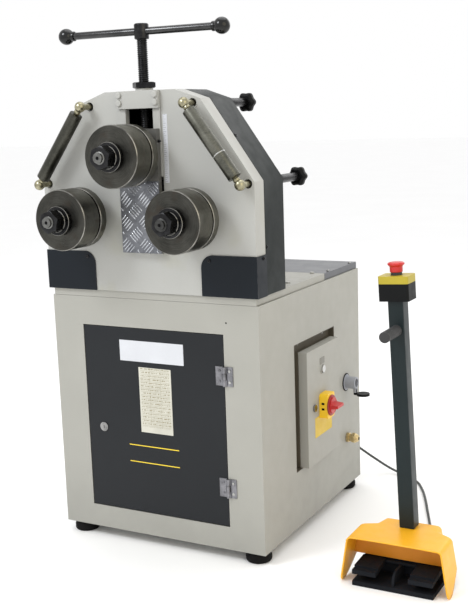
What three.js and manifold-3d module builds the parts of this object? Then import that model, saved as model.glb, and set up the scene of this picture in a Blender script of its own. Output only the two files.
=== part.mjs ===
// A ring roller: three roll sets in front of a thick plate, on a sheet steel cabinet,
// with a foot pedal stand beside it. Millimetres, +Z up, the front towards -Y.
import * as THREE from 'three';
import { mergeVertices } from 'three/addons/utils/BufferGeometryUtils.js';
import Module from 'manifold-3d';

const wasm = await Module();
wasm.setup();

// General sizes
const fitGap = 0.3; // gap kept between neighbouring pieces
const overrun = 20; // how far a cut runs past what it cuts
const sheet = 2; // sheet steel of the cabinet
const bigSides = 32;
const roundSides = 24;
const smallSides = 12;

// Cabinet
const cabinetWidth = 611;
const cabinetDepth = 652;
const cabinetHeight = 635; // without its feet
const rimWidth = 30; // inward rim round the open top
const footHeight = 30;
const footDiameter = 68;
const footSoleDiameter = 60;
const footTopDiameter = 56;
const footSoleRise = 4; // height of the rounded lower edge
const footInset = 38; // foot axis from the cabinet's sides

// Top plate and rear lid
const deckThickness = 18.7;
const deckMargin = 5; // narrower than the cabinet on each side
const rearLidDepth = 236;

// Cabinet door, its tray open towards the inside
const doorWidth = 417;
const doorDepth = 18;
const doorOffset = -3.5; // middle of the door from the middle of the cabinet
const doorBottom = 63; // above the cabinet's bottom
const doorTopMargin = 77; // from the door to the cabinet's top
const doorGap = 2;
const doorRecess = 1; // how far the door lies behind the cabinet's front

// Quarter-turn lock of the cabinet door
const doorLockFromEdge = 47.5;
const doorLockHeight = 221.5; // above the door's lower edge
const doorLockDiameter = 25;
const doorLockProud = 2;
const lockBarrelDiameter = 18;
const lockBarrelLength = 8;
const lockCamWidth = 12;
const lockCamThickness = 3;
const lockCamGap = 7; // from the cam's tip to the fold of its door

// Door hinges
const hingeHeight = 49;
const lowerHingeHeight = 102.5; // middle of the hinge above the door's lower edge
const upperHingeHeight = 392;
const hingeAxisGap = 4; // hinge axis beside the door's edge
const hingeStandoff = 5.5; // hinge axis in front of the cabinet
const knuckleDiameter = 9;
const hingePinDiameter = 5;
const leafThickness = 2;
const doorLeafWidth = 22;
const frameLeafWidth = 17;

// Control box in the cabinet's right side
const recessWidth = 267; // along Y
const recessHeight = 344;
const recessMiddle = 3.5; // from the middle of the cabinet
const recessBottom = 154; // above the cabinet's bottom
const recessDepth = 16;
const boxDepth = 140; // behind the flange
const panelInsetFront = 35; // flange that shows beside the panel door
const panelInsetRear = 15;
const panelInsetBottom = 3;
const panelInsetTop = 26;
const panelDoorDepth = 25;
const panelDoorProud = 20; // in front of the cabinet's side
const panelHingeInset = 2;

// Start button
const startButtonShift = -9.5; // from the middle of the panel door
const startButtonHeight = 251; // above the panel door's lower edge
const bezelDiameter = 28;
const bezelThickness = 3;
const startButtonDiameter = 21;
const startButtonProud = 3; // in front of its bezel
const startFlangeDiameter = 26;
const startFlangeThickness = 2;
const startStemDiameter = 12;
const startStemLength = 9;

// Main switch
const switchShift = -10;
const switchHeight = 152;
const switchWidth = 50;
const switchTall = 68;
const switchDepth = 24;
const switchCorner = 9;
const knobDiameter = 45;
const knobThickness = 8;
const knobShaftDiameter = 10;
const knobShaftTail = 6; // behind the panel door's front
const gripLength = 42;
const gripHeight = 20;
const gripFootWidth = 15;
const gripTipWidth = 7;

// Lock of the panel door
const panelLockFromEdge = 43;
const panelLockHeight = 155;
const panelLockDiameter = 20;
const panelLockProud = 4;

// Round socket in the cabinet's right side
const socketFromRear = 106; // in front of the cabinet's rear
const socketHeight = 316; // above the cabinet's bottom
const socketFlangeDiameter = 47;
const socketFlangeThickness = 3;
const socketDiameter = 35;
const socketLength = 30;
const socketBore = 25;
const socketBoreDepth = 24;
const spigotDiameter = 28;
const spigotLength = 8;
const socketPinDiameter = 3;
const socketPinDrop = 24; // below the socket's axis
const socketPinInset = 4; // behind the socket's outer end
const earThickness = 3;
const earHeight = 8;
const capDiameter = 38;
const capThickness = 7;
const capLugWidth = 8;

// Gland of the control cable in the cabinet's rear
const glandOffset = 225;
const glandHeight = 83; // above the cabinet's bottom
const glandHexWidth = 24;
const glandHexLength = 9;
const glandDomeDiameter = 18;
const glandLength = 24;
const glandSpigotDiameter = 14;

// Front plate and gear cover
const plateThickness = 49;
const plateOverhang = 6; // in front of the cabinet
const headDepth = 157;
const headHalfWidth = 308;
const shoulderHeight = 279; // above the top plate, as are the next heights
const upperCornerHalfWidth = 170;
const upperCornerHeight = 476.5;
const crownHalfWidth = 102;
const headHeight = 500;
const slotHalfWidth = 60;
const slotFloor = 209;
const coverWall = 3;

// Corner guards
const guardInner = 157;
const guardHeight = 102;
const guardRound = 32;
const guardThickness = 2.4;

// Rolls, all three alike
const rollDiameter = 150;
const frontDiscWidth = 64;
const grooveWidth = 4;
const grooveDiameter = 128;
const rearDiscWidth = 24;
const rollEdge = 2.5;
const rollStandoff = 42.6; // from the front plate to the rolls
const rollOffset = 160;
const lowerRollHeight = 194;
const topRollHeight = 346;

// Roll shafts and their clamp nuts
const seatDiameter = 40;
const threadDiameter = 30;
const tipDiameter = 24;
const tipLength = 8;
const centreHoleDiameter = 8;
const centreHoleDepth = 5;
const journalDiameter = 52;
const lowerCollarDiameter = 84;
const topJournalDiameter = 40;
const topCollarDiameter = 64;
const tailCollarDiameter = 56;
const tailCollarLength = 10;
const shaftTail = 8;
const washerDiameter = 72;
const washerThickness = 12;
const nutWidth = 50;
const nutLength = 34;

// Drive: one pinion between the gear wheels of the two lower shafts
const gearTeeth = 44;
const pinionTeeth = 24;
const pinionDrop = 57.4; // pinion axis below the lower rolls
const gearWidth = 22;
const gearGap = 3;
const hubDiameter = 70;
const toothAddendumShare = 0.75; // of the module, as is the next one
const toothDedendumShare = 1;
const toothThicknessShare = 0.42; // of the pitch
const toothTipShare = 0.5; // of the tooth's thickness
const pinionStubDiameter = 35;
const pinionStubLength = 28;
const pinionTailDiameter = 30;
const pinionTailLength = 36;
const bossDiameter = 78;
const bossThickness = 8;

// Gearmotor behind the gears, its motor hanging through the top plate
const gearboxGap = 4;
const gearboxWidth = 150;
const gearboxShift = 25;
const gearboxHeight = 190;
const motorDiameter = 130;
const motorNeckDiameter = 68;
const motorLength = 240; // below the top plate's upper face
const motorShift = 50;
const motorHoleGap = 4;

// Slide rails and the bridge over them
const railWidth = 20.2;
const railProud = 4;
const railDepth = 12; // behind the plate's front
const railBottom = 292;
const bridgeHeight = 43;
const bridgeProud = 12;
const bridgeCollarDiameter = 44;
const bridgeCollarHeight = 5.6;

// Top slide with its covering skirt
const slideHalfWidth = 57;
const slideAbove = 62; // above the top roll's axis
const slideBelow = 64;
const slideProud = 20;
const retainerHalfWidth = 47;
const retainerThickness = 18.7;
const skirtHeight = 178;
const skirtWall = 4;
const checkerThickness = 2.7;

// Press screw and T-bar
const screwDiameter = 26;
const screwSetback = 25; // behind the plate's front
const screwPocket = 16;
const screwReach = 214.6; // from the slide's top to the hub
const screwHubDiameter = 36;
const screwHubHeight = 37.4;
const tommyDiameter = 18;
const tommyLength = 431; // between the middles of its balls
const tommyBallDiameter = 40;
const tommyTurn = 3.7; // degrees, its left end forwards
const lockNutWidth = 50;
const lockNutHeight = 15;

// Side guides
const guideUpperOffset = 149;
const guideUpperHeight = 466;
const guideLowerOffset = 291;
const guideLowerHeight = 274;
const guideForward = 40; // ball middles in front of the plate
const guideBallDiameter = 27;
const guideNeckDiameter = 15;
const guideNeckReach = 47; // from the ball's middle into the plate
const guideRollerDiameter = 33;
const guideRollerInset = 21.5; // from a ball's middle to the roller's end
const guideAxleDiameter = 12;
const rodDiameter = 14;
const rodStubDiameter = 8;
const rodStubLength = 10;
const rodMouthDiameter = 22;
const rodMouthDepth = 32;
const rodSleeveDiameter = 22;
const rodSleeveLength = 132;
const knobBehind = 269; // front of the star knob behind the plate's front
const starKnobDiameter = 52;
const starKnobThickness = 26;
const starWaistShare = 0.86;
const starLobes = 6;

// Pedal stand
const standOffset = 637;
const standForward = 24; // the stand's frame in front of the cabinet's middle
const baseHalfWidth = 100;
const baseFront = -305;
const baseRear = -150;
const baseThickness = 12;
const sillHeight = 44;
const housingHalfWidth = 62;
const housingFront = -224;
const housingRear = -155;
const housingHeight = 112.5;
const ribHalfWidth = 3;
const ribFront = -299;
const ribHeight = 43;
const ribRound = 26;
const pivotSetback = -234;
const pivotHeight = 43;
const pivotDiameter = 8;
const pedalInner = 40;
const pedalOuter = 99;
const pedalFront = -307;
const pedalStep = -290;
const pedalRear = -228;
const pedalLipBottom = 30;
const pedalLipTop = 41;
const pedalStepTop = 46;
const pedalRearTop = 48.5;
const pedalRearBottom = 37;
const inletOffset = 40;
const inletHeight = 22;
const inletDiameter = 18;
const inletReach = 17; // behind the base

// Foot shield
const shieldTop = 117;
const shieldTopHalfWidth = 116;
const shieldFootHalfWidth = 134.5;
const shieldCorner = 12;
const shieldFront = -297;
const shieldLegRear = -262;
const shieldSkirt = 46;
const shieldSkirtFront = -203;
const shieldShoulder = -203;
const shieldNeck = -183;
const shieldNeckHalfWidth = 80;
const shieldRearHalfWidth = 72;
const shieldRear = -148;
const shieldWall = 3.5;
const shieldBackBottom = 50; // lower edge of the inner wall behind the pedals
const legTipRound = 16;

// Column with its hand grip
const columnWidth = 38;
const columnSetback = -176;
const columnHeight = 560;
const columnLean = -2.7; // degrees
const gripBelowTop = 70;
const handGripHeight = columnHeight - gripBelowTop;
const handGripDiameter = 25;
const handGripLength = 86;

// Emergency stop
const stopBoxWidth = 74;
const stopBoxDepth = 60;
const stopBoxHeight = 41;
const stopWall = 3;
const stopCorner = 6;
const stopLidHeight = 18;
const stopStemDiameter = 28.6;
const stopStemBelow = 12;
const stopNeckDiameter = 27;
const stopNeckTop = 7; // above the lid, as are the next heights
const stopBodyDiameter = 30.5;
const stopBodyTop = 19;
const mushroomDiameter = 40;
const mushroomRim = 24.5;
const mushroomEdge = 28;
const mushroomCrownDiameter = 32;
const mushroomTop = 31;

// Control cable, its route chosen by hand from the gland to the stand's inlet
const cableDiameter = 7;
const cableSteps = 54;
const cableSides = 8;
const cableRoute = [
  [225, 350.3, 113],
  [225.2, 361, 112.8],
  [228.4, 374, 111.6],
  [236, 386, 108.6],
  [248, 395, 103.2],
  [264, 401, 94],
  [287, 408, 77],
  [318, 422, 52],
  [355, 446, 20],
  [411, 434, 5],
  [461, 397, 4.2],
  [494, 344, 4.2],
  [524.5, 278, 4.2],
  [567, 170, 4.2],
  [613, 53, 4.2],
  [648, -36, 4.6],
  [669, -100, 12],
  [677, -136, 20.5],
  [677, -156.7, 22],
];

// Finishes
const creamPaint = { color: 0xbebdb8, roughness: 0.55, metalness: 0.1 };
const greyPaint = { color: 0x32383c, roughness: 0.5, metalness: 0.2 };
const doorPaint = { color: 0x373a3e, roughness: 0.5, metalness: 0.2 };
const darkSteel = { color: 0x555249, roughness: 0.4, metalness: 0.8 };
const blackSteel = { color: 0x222426, roughness: 0.4, metalness: 0.6 };
const brightSteel = { color: 0xa9a9a6, roughness: 0.35, metalness: 0.9 };
const aluminium = { color: 0xb7bac0, roughness: 0.35, metalness: 0.9 };
const brass = { color: 0xb59c5a, roughness: 0.3, metalness: 0.9 };
const blackPlastic = { color: 0x1f2022, roughness: 0.6, metalness: 0 };
const greyPlastic = { color: 0x8f9498, roughness: 0.6, metalness: 0 };
const yellowPlastic = { color: 0xe0b62f, roughness: 0.5, metalness: 0 };
const shieldPaint = { color: 0xfab428, roughness: 0.45, metalness: 0 };
const redPlastic = { color: 0xc02822, roughness: 0.4, metalness: 0 };
const cableRubber = { color: 0x3a3b3d, roughness: 0.7, metalness: 0 };

// Places worked out from the sizes
const quarterTurn = Math.PI / 2;
const fullTurn = Math.PI * 2;
const cabinetFront = -cabinetDepth / 2;
const cabinetSide = cabinetWidth / 2;
const doorHeight = cabinetHeight - doorBottom - doorTopMargin;
const doorLeft = doorOffset - doorWidth / 2;
const doorRight = doorOffset + doorWidth / 2;
const doorFace = hingeStandoff + doorRecess; // behind the hinge axis
const panelWidth = recessWidth - panelInsetFront - panelInsetRear;
const panelHeight = recessHeight - panelInsetBottom - panelInsetTop;
const panelRear = recessWidth / 2 - panelInsetRear;
const socketSetback = cabinetDepth / 2 - socketFromRear;
const socketEnd = fitGap + socketFlangeThickness + socketLength;
const deckTop = footHeight + cabinetHeight + fitGap + deckThickness;
const rollWidth = frontDiscWidth + grooveWidth + rearDiscWidth;
const rollFront = rollStandoff + rollWidth;
const gearDistance = Math.hypot(rollOffset, pinionDrop);
const gearModule = (2 * gearDistance) / (gearTeeth + pinionTeeth);
const pinionHeight = lowerRollHeight - pinionDrop;
const gearFront = plateThickness + gearGap;
const gearRear = gearFront + gearWidth;
const gearboxFront = gearRear + gearboxGap;
const gearboxRear = headDepth - coverWall - 2 * fitGap;
const motorSetback = (gearboxFront + gearboxRear) / 2;
const railInner = slotHalfWidth - fitGap - railWidth;
const bridgeBottom = headHeight - bridgeHeight;
const slideRear = plateThickness + fitGap + retainerThickness;
const guideRise = guideUpperHeight - guideLowerHeight;
const guideRun = guideLowerOffset - guideUpperOffset;
const guideLength = Math.hypot(guideRise, guideRun);
const guideSlant = Math.atan2(guideRun, guideRise);

/** A closed three.js geometry as a solid that can be joined and cut. */
function solidOf(geometry) {
  geometry.deleteAttribute('normal');
  geometry.deleteAttribute('uv');
  const merged = mergeVertices(geometry);
  const corners = merged.index.array;
  const position = merged.attributes.position;
  const a = new THREE.Vector3();
  const b = new THREE.Vector3();
  const c = new THREE.Vector3();
  const triangles = [];
  let volume = 0;
  for (let i = 0; i < corners.length; i += 3) {
    const [p, q, r] = [corners[i], corners[i + 1], corners[i + 2]];
    if (p === q || q === r || r === p) continue;
    volume += a.fromBufferAttribute(position, p).dot(
      b.fromBufferAttribute(position, q).cross(c.fromBufferAttribute(position, r)),
    );
    triangles.push([p, q, r]);
  }
  const facing = volume > 0 ? triangles : triangles.map(([p, q, r]) => [p, r, q]);
  return new wasm.Manifold(new wasm.Mesh({
    numProp: 3,
    vertProperties: new Float32Array(position.array),
    triVerts: new Uint32Array(facing.flat()),
  }));
}

/** A solid back as a three.js geometry. */
function geometryOf(solid) {
  const { vertProperties, triVerts } = solid.getMesh();
  const geometry = new THREE.BufferGeometry();
  geometry.setAttribute('position', new THREE.BufferAttribute(new Float32Array(vertProperties), 3));
  geometry.setIndex(new THREE.BufferAttribute(new Uint32Array(triVerts), 1));
  geometry.computeVertexNormals();
  return geometry;
}

/** A named mesh of a solid with a material of its own. */
function piece(name, solid, finish, place = [0, 0, 0]) {
  const material = new THREE.MeshStandardMaterial({ ...finish, flatShading: true });
  const mesh = new THREE.Mesh(geometryOf(solid), material);
  mesh.name = name;
  mesh.position.set(...place);
  return mesh;
}

/** A group of meshes and groups at one place. */
function assembly(place, ...members) {
  const group = new THREE.Group();
  group.position.set(...place);
  group.add(...members);
  return group;
}

function join(...solids) {
  return solids.reduce((whole, next) => whole.add(next));
}

function cut(whole, ...tools) {
  return tools.reduce((rest, tool) => rest.subtract(tool), whole);
}

function spanOf(middle, length) {
  return [middle - length / 2, middle + length / 2];
}

/** A box between two limits on each axis. */
function block([x0, x1], [y0, y1], [z0, z1]) {
  const geometry = new THREE.BoxGeometry(x1 - x0, y1 - y0, z1 - z0);
  return solidOf(geometry.translate((x0 + x1) / 2, (y0 + y1) / 2, (z0 + z1) / 2));
}

/** Turns a geometry that stands along Y so that it lies along the given axis, and moves it there. */
function layAlong(axis, geometry, [first, second]) {
  if (axis === 'x') return geometry.rotateZ(-quarterTurn).translate(0, first, second);
  if (axis === 'z') return geometry.rotateX(quarterTurn).translate(first, second, 0);
  return geometry.translate(first, 0, second);
}

/** A round or many-sided bar along an axis, between two places on it. */
function bar(axis, diameter, [from, to], centre = [0, 0], sides = roundSides) {
  const geometry = new THREE.CylinderGeometry(diameter / 2, diameter / 2, to - from, sides);
  return solidOf(layAlong(axis, geometry.translate(0, (from + to) / 2, 0), centre));
}

/** A hexagonal bar of a given width over its flats. */
function hexagon(axis, width, ends) {
  return bar(axis, width / Math.cos(Math.PI / 6), ends, [0, 0], 6);
}

/** A solid turned about an axis from points of diameter and place along it. */
function turned(axis, points, sides = roundSides) {
  const profile = points.map(([diameter, along]) => new THREE.Vector2(diameter / 2, along));
  return solidOf(layAlong(axis, new THREE.LatheGeometry(profile, sides), [0, 0]));
}

function ball(diameter, [x, y, z]) {
  const geometry = new THREE.SphereGeometry(diameter / 2, smallSides, smallSides / 2);
  return solidOf(geometry.translate(x, y, z));
}

function shapeOf(points) {
  return new THREE.Shape(points.map(([u, v]) => new THREE.Vector2(u, v)));
}

/** A flat shape extruded along an axis: (y, z) along X, (x, z) along Y, (x, y) along Z. */
function extruded(axis, shape, [from, to]) {
  const options = { depth: to - from, bevelEnabled: false, curveSegments: 4 };
  const geometry = new THREE.ExtrudeGeometry(shape, options);
  if (axis === 'x') geometry.rotateX(quarterTurn).rotateZ(quarterTurn).translate(from, 0, 0);
  if (axis === 'y') geometry.rotateX(quarterTurn).translate(0, to, 0);
  if (axis === 'z') geometry.translate(0, 0, from);
  return solidOf(geometry);
}

/** A rectangle with round corners. */
function roundedRectangle([u0, u1], [v0, v1], radius) {
  const shape = new THREE.Shape();
  shape.moveTo(u0 + radius, v0);
  shape.lineTo(u1 - radius, v0);
  shape.absarc(u1 - radius, v0 + radius, radius, -quarterTurn, 0, false);
  shape.lineTo(u1, v1 - radius);
  shape.absarc(u1 - radius, v1 - radius, radius, 0, quarterTurn, false);
  shape.lineTo(u0 + radius, v1);
  shape.absarc(u0 + radius, v1 - radius, radius, quarterTurn, 2 * quarterTurn, false);
  shape.lineTo(u0, v0 + radius);
  shape.absarc(u0 + radius, v0 + radius, radius, 2 * quarterTurn, 3 * quarterTurn, false);
  return shape;
}

/** An anticlockwise convex outline moved inwards by a distance. */
function insetOutline(points, distance) {
  const edges = points.map(([u, v], i) => {
    const [nextU, nextV] = points[(i + 1) % points.length];
    const length = Math.hypot(nextU - u, nextV - v);
    const [alongU, alongV] = [(nextU - u) / length, (nextV - v) / length];
    return { u: u - alongV * distance, v: v + alongU * distance, alongU, alongV };
  });
  return edges.map((edge, i) => {
    const before = edges[(i + edges.length - 1) % edges.length];
    const turn = before.alongU * edge.alongV - before.alongV * edge.alongU;
    const along = ((edge.u - before.u) * edge.alongV - (edge.v - before.v) * edge.alongU) / turn;
    return [before.u + along * before.alongU, before.v + along * before.alongV];
  });
}

/** The outline of the head, shared by the front plate and the cover. */
function headOutline() {
  const rightSide = [
    [headHalfWidth, fitGap],
    [headHalfWidth, shoulderHeight],
    [upperCornerHalfWidth, upperCornerHeight],
    [crownHalfWidth, headHeight],
  ];
  const leftSide = rightSide.map(([x, z]) => [-x, z]).reverse();
  return [...rightSide, ...leftSide];
}

/** The four holes for the guides' rods, as places in the head. */
function guidePlaces() {
  return [-1, 1].flatMap((side) => [
    [side * guideUpperOffset, guideUpperHeight],
    [side * guideLowerOffset, guideLowerHeight],
  ]);
}

// Cabinet

function cabinetShell() {
  const outside = block(spanOf(0, cabinetWidth), spanOf(0, cabinetDepth), [0, cabinetHeight]);
  const inside = block(
    spanOf(0, cabinetWidth - 2 * sheet),
    spanOf(0, cabinetDepth - 2 * sheet),
    [sheet, cabinetHeight - sheet],
  );
  const topOpening = block(
    spanOf(0, cabinetWidth - 2 * rimWidth),
    spanOf(0, cabinetDepth - 2 * rimWidth),
    spanOf(cabinetHeight, overrun),
  );
  const doorOpening = block(
    [doorLeft - doorGap, doorRight + doorGap],
    spanOf(cabinetFront, overrun),
    [doorBottom - doorGap, doorBottom + doorHeight + doorGap],
  );
  const boxOpening = block(
    spanOf(cabinetSide, overrun),
    spanOf(recessMiddle, recessWidth + 2 * fitGap),
    spanOf(recessBottom + recessHeight / 2, recessHeight + 2 * fitGap),
  );
  const socketHole = bar(
    'x',
    spigotDiameter + 2 * fitGap,
    spanOf(cabinetSide, overrun),
    [socketSetback, socketHeight],
  );
  const glandHole = bar(
    'y',
    glandSpigotDiameter + 2 * fitGap,
    spanOf(-cabinetFront, overrun),
    [glandOffset, glandHeight],
    smallSides,
  );
  return cut(outside, inside, topOpening, doorOpening, boxOpening, socketHole, glandHole);
}

function foot() {
  return turned('z', [
    [0, 0],
    [footSoleDiameter, 0],
    [footDiameter, footSoleRise],
    [footDiameter, footHeight / 2],
    [footTopDiameter, footHeight - fitGap],
    [0, footHeight - fitGap],
  ]);
}

function feet() {
  const places = [
    ['foot_front_left', -1, -1],
    ['foot_front_right', 1, -1],
    ['foot_rear_left', -1, 1],
    ['foot_rear_right', 1, 1],
  ];
  return places.map(([name, acrossSide, depthSide]) => {
    const x = acrossSide * (cabinetSide - footInset);
    const y = depthSide * (cabinetDepth / 2 - footInset);
    return piece(name, foot(), blackPlastic, [x, y, 0]);
  });
}

function topPlate() {
  const plate = block(
    spanOf(0, cabinetWidth - 2 * deckMargin),
    [cabinetFront, -cabinetFront - rearLidDepth - fitGap],
    [0, deckThickness],
  );
  const motorHole = bar(
    'z',
    motorDiameter + 2 * motorHoleGap,
    [-overrun, deckThickness + overrun],
    [motorShift, cabinetFront - plateOverhang + motorSetback],
  );
  return cut(plate, motorHole);
}

function rearLid() {
  const lid = block(
    spanOf(0, cabinetWidth - 2 * deckMargin),
    [-cabinetFront - rearLidDepth, -cabinetFront],
    [0, deckThickness],
  );
  const hollow = block(
    spanOf(0, cabinetWidth - 2 * deckMargin - 2 * sheet),
    [-cabinetFront - rearLidDepth + sheet, -cabinetFront - sheet],
    [-overrun, deckThickness - sheet],
  );
  return cut(lid, hollow);
}

// Cabinet door, in a frame whose Z axis is the hinge axis

/** Heights of a hinge's middle knuckle, of a third of its length. */
function middleKnuckle(height) {
  return spanOf(height, hingeHeight / 3 - 2 * fitGap);
}

function doorLeaf(height) {
  const leaf = block(
    [-knuckleDiameter / 2 - fitGap - doorLeafWidth, -knuckleDiameter / 2 - fitGap],
    [doorFace - leafThickness, doorFace + sheet / 2],
    spanOf(height, hingeHeight),
  );
  const web = block(
    [-knuckleDiameter / 2 - leafThickness, 0],
    [0, hingeStandoff - fitGap],
    middleKnuckle(height),
  );
  return join(leaf, web, bar('z', knuckleDiameter, middleKnuckle(height), [0, 0], smallSides));
}

function cabinetDoor() {
  const [left, right] = [-hingeAxisGap - doorWidth, -hingeAxisGap];
  const tray = cut(
    block([left, right], [doorFace, doorFace + doorDepth], [0, doorHeight]),
    block(
      [left + sheet, right - sheet],
      [doorFace + sheet, doorFace + doorDepth + overrun],
      [sheet, doorHeight - sheet],
    ),
  );
  const lockHole = bar(
    'y',
    lockBarrelDiameter + 2 * fitGap,
    spanOf(doorFace, overrun),
    [left + doorLockFromEdge, doorLockHeight],
  );
  const pinHole = bar('z', hingePinDiameter + 2 * fitGap, [0, doorHeight], [0, 0], smallSides);
  return cut(join(tray, doorLeaf(lowerHingeHeight), doorLeaf(upperHingeHeight)), lockHole, pinHole);
}

/** The hinge half on the cabinet, with the pin. */
function frameHinge() {
  const leaf = block(
    [knuckleDiameter / 2 + fitGap, knuckleDiameter / 2 + fitGap + frameLeafWidth],
    [hingeStandoff - fitGap - leafThickness, hingeStandoff - fitGap],
    spanOf(0, hingeHeight),
  );
  const outerKnuckles = [-1, 1].flatMap((end) => {
    const heights = spanOf((end * hingeHeight) / 3, hingeHeight / 3);
    return [
      bar('z', knuckleDiameter, heights, [0, 0], smallSides),
      block([0, knuckleDiameter / 2 + leafThickness], [0, hingeStandoff - fitGap], heights),
    ];
  });
  const pin = bar('z', hingePinDiameter, spanOf(0, hingeHeight), [0, 0], smallSides);
  return join(leaf, ...outerKnuckles, pin);
}

/** A quarter-turn lock in a door, its head in front at -Y and its cam towards -X behind the door's skin. */
function turnLock(diameter, proud, camLength) {
  const camFront = sheet + lockBarrelLength - lockCamThickness;
  return join(
    bar('y', diameter, [-fitGap - proud, -fitGap]),
    bar('y', lockBarrelDiameter, [-fitGap - proud / 2, sheet + lockBarrelLength]),
    block([-camLength, 0], [camFront, camFront + lockCamThickness], spanOf(0, lockCamWidth)),
  );
}

function cabinetDoorAssembly() {
  const hingeAxis = [doorRight + hingeAxisGap, cabinetFront - hingeStandoff, doorBottom];
  const lockPlace = [-hingeAxisGap - doorWidth + doorLockFromEdge, doorFace, doorLockHeight];
  const camLength = doorLockFromEdge - sheet - lockCamGap;
  return assembly(
    hingeAxis,
    piece('cabinet_door', cabinetDoor(), doorPaint),
    piece('door_lock', turnLock(doorLockDiameter, doorLockProud, camLength), brightSteel, lockPlace),
    piece('lower_door_hinge', frameHinge(), brightSteel, [0, 0, lowerHingeHeight]),
    piece('upper_door_hinge', frameHinge(), brightSteel, [0, 0, upperHingeHeight]),
  );
}

// Control box, in a frame on the cabinet's side: X outwards, Y from the middle of the recess

function controlBox() {
  const [panelFrom, panelTo] = [panelRear - panelWidth, panelRear];
  const heights = [panelInsetBottom, panelInsetBottom + panelHeight];
  const lining = cut(
    block([-recessDepth - sheet, 0], spanOf(0, recessWidth), [0, recessHeight]),
    block(
      [-recessDepth, overrun],
      spanOf(0, recessWidth - 2 * sheet),
      [sheet, recessHeight - sheet],
    ),
  );
  const rim = panelDoorProud - panelDoorDepth - fitGap;
  const enclosure = block([-recessDepth - boxDepth, rim], [panelFrom, panelTo], heights);
  const inside = block(
    [-recessDepth - boxDepth + sheet, overrun],
    [panelFrom + sheet, panelTo - sheet],
    [panelInsetBottom + sheet, panelInsetBottom + panelHeight - sheet],
  );
  return cut(join(lining, enclosure), inside);
}

/** Panel door, in a frame whose Z axis is its hinge axis, near its outer rear corner. */
function panelDoor() {
  const front = panelHingeInset;
  const across = [panelHingeInset - panelWidth, panelHingeInset];
  const tray = cut(
    block([front - panelDoorDepth, front], across, [0, panelHeight]),
    block(
      [front - panelDoorDepth - overrun, front - sheet],
      [across[0] + sheet, across[1] - sheet],
      [sheet, panelHeight - sheet],
    ),
  );
  const middle = (across[0] + across[1]) / 2;
  const startCentre = [middle + startButtonShift, startButtonHeight];
  const switchCentre = [middle + switchShift, switchHeight];
  const bezel = bar('x', bezelDiameter, [front - sheet / 2, front + bezelThickness], startCentre);
  const throughFront = [front - overrun / 2, front + overrun];
  return cut(
    join(tray, bezel),
    bar('x', startButtonDiameter + 2 * fitGap, throughFront, startCentre),
    bar('x', knobShaftDiameter + 2 * fitGap, throughFront, switchCentre, smallSides),
    bar(
      'x',
      lockBarrelDiameter + 2 * fitGap,
      throughFront,
      [across[0] + panelLockFromEdge, panelLockHeight],
    ),
  );
}

function startButton() {
  const flangeFront = -sheet - fitGap;
  return turned('x', [
    [0, flangeFront - startFlangeThickness - startStemLength],
    [startStemDiameter, flangeFront - startFlangeThickness - startStemLength],
    [startStemDiameter, flangeFront - startFlangeThickness],
    [startFlangeDiameter, flangeFront - startFlangeThickness],
    [startFlangeDiameter, flangeFront],
    [startButtonDiameter, flangeFront],
    [startButtonDiameter, bezelThickness + startButtonProud],
    [0, bezelThickness + startButtonProud],
  ]);
}

function mainSwitchBody() {
  const outline = roundedRectangle(spanOf(0, switchWidth), spanOf(0, switchTall), switchCorner);
  return cut(
    extruded('x', outline, [fitGap, fitGap + switchDepth]),
    bar('x', knobShaftDiameter + 2 * fitGap, [-overrun, switchDepth + overrun], [0, 0], smallSides),
  );
}

function mainSwitchKnob() {
  const discBack = switchDepth + 2 * fitGap;
  const grip = shapeOf([
    [discBack, -gripFootWidth / 2],
    [discBack + knobThickness + gripHeight, -gripTipWidth / 2],
    [discBack + knobThickness + gripHeight, gripTipWidth / 2],
    [discBack, gripFootWidth / 2],
  ]);
  const shaftEnds = [-sheet - knobShaftTail, discBack + knobThickness / 2];
  return join(
    bar('x', knobDiameter, [discBack, discBack + knobThickness]),
    bar('x', knobShaftDiameter, shaftEnds, [0, 0], smallSides),
    extruded('y', grip, spanOf(0, gripLength)),
  );
}

function controlBoxAssembly() {
  const hingeAxis = [panelDoorProud - panelHingeInset, panelRear - panelHingeInset, panelInsetBottom];
  const face = panelHingeInset;
  const middle = panelHingeInset - panelWidth / 2;
  const camLength = panelLockFromEdge - sheet - lockCamGap;
  const lock = piece(
    'panel_lock',
    turnLock(panelLockDiameter, panelLockProud, camLength),
    brightSteel,
    [face, panelHingeInset - panelWidth + panelLockFromEdge, panelLockHeight],
  );
  lock.rotation.z = quarterTurn;
  const startPlace = [face, middle + startButtonShift, startButtonHeight];
  const switchPlace = [face, middle + switchShift, switchHeight];
  const panel = assembly(
    hingeAxis,
    piece('panel_door', panelDoor(), creamPaint),
    piece('start_button', startButton(), brightSteel, startPlace),
    piece('main_switch_body', mainSwitchBody(), yellowPlastic, switchPlace),
    piece('main_switch_knob', mainSwitchKnob(), redPlastic, switchPlace),
    lock,
  );
  return assembly(
    [cabinetSide, recessMiddle, recessBottom],
    piece('control_box', controlBox(), greyPaint),
    panel,
  );
}

// Socket, in a frame on the cabinet's side: X outwards along the socket's axis

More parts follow.
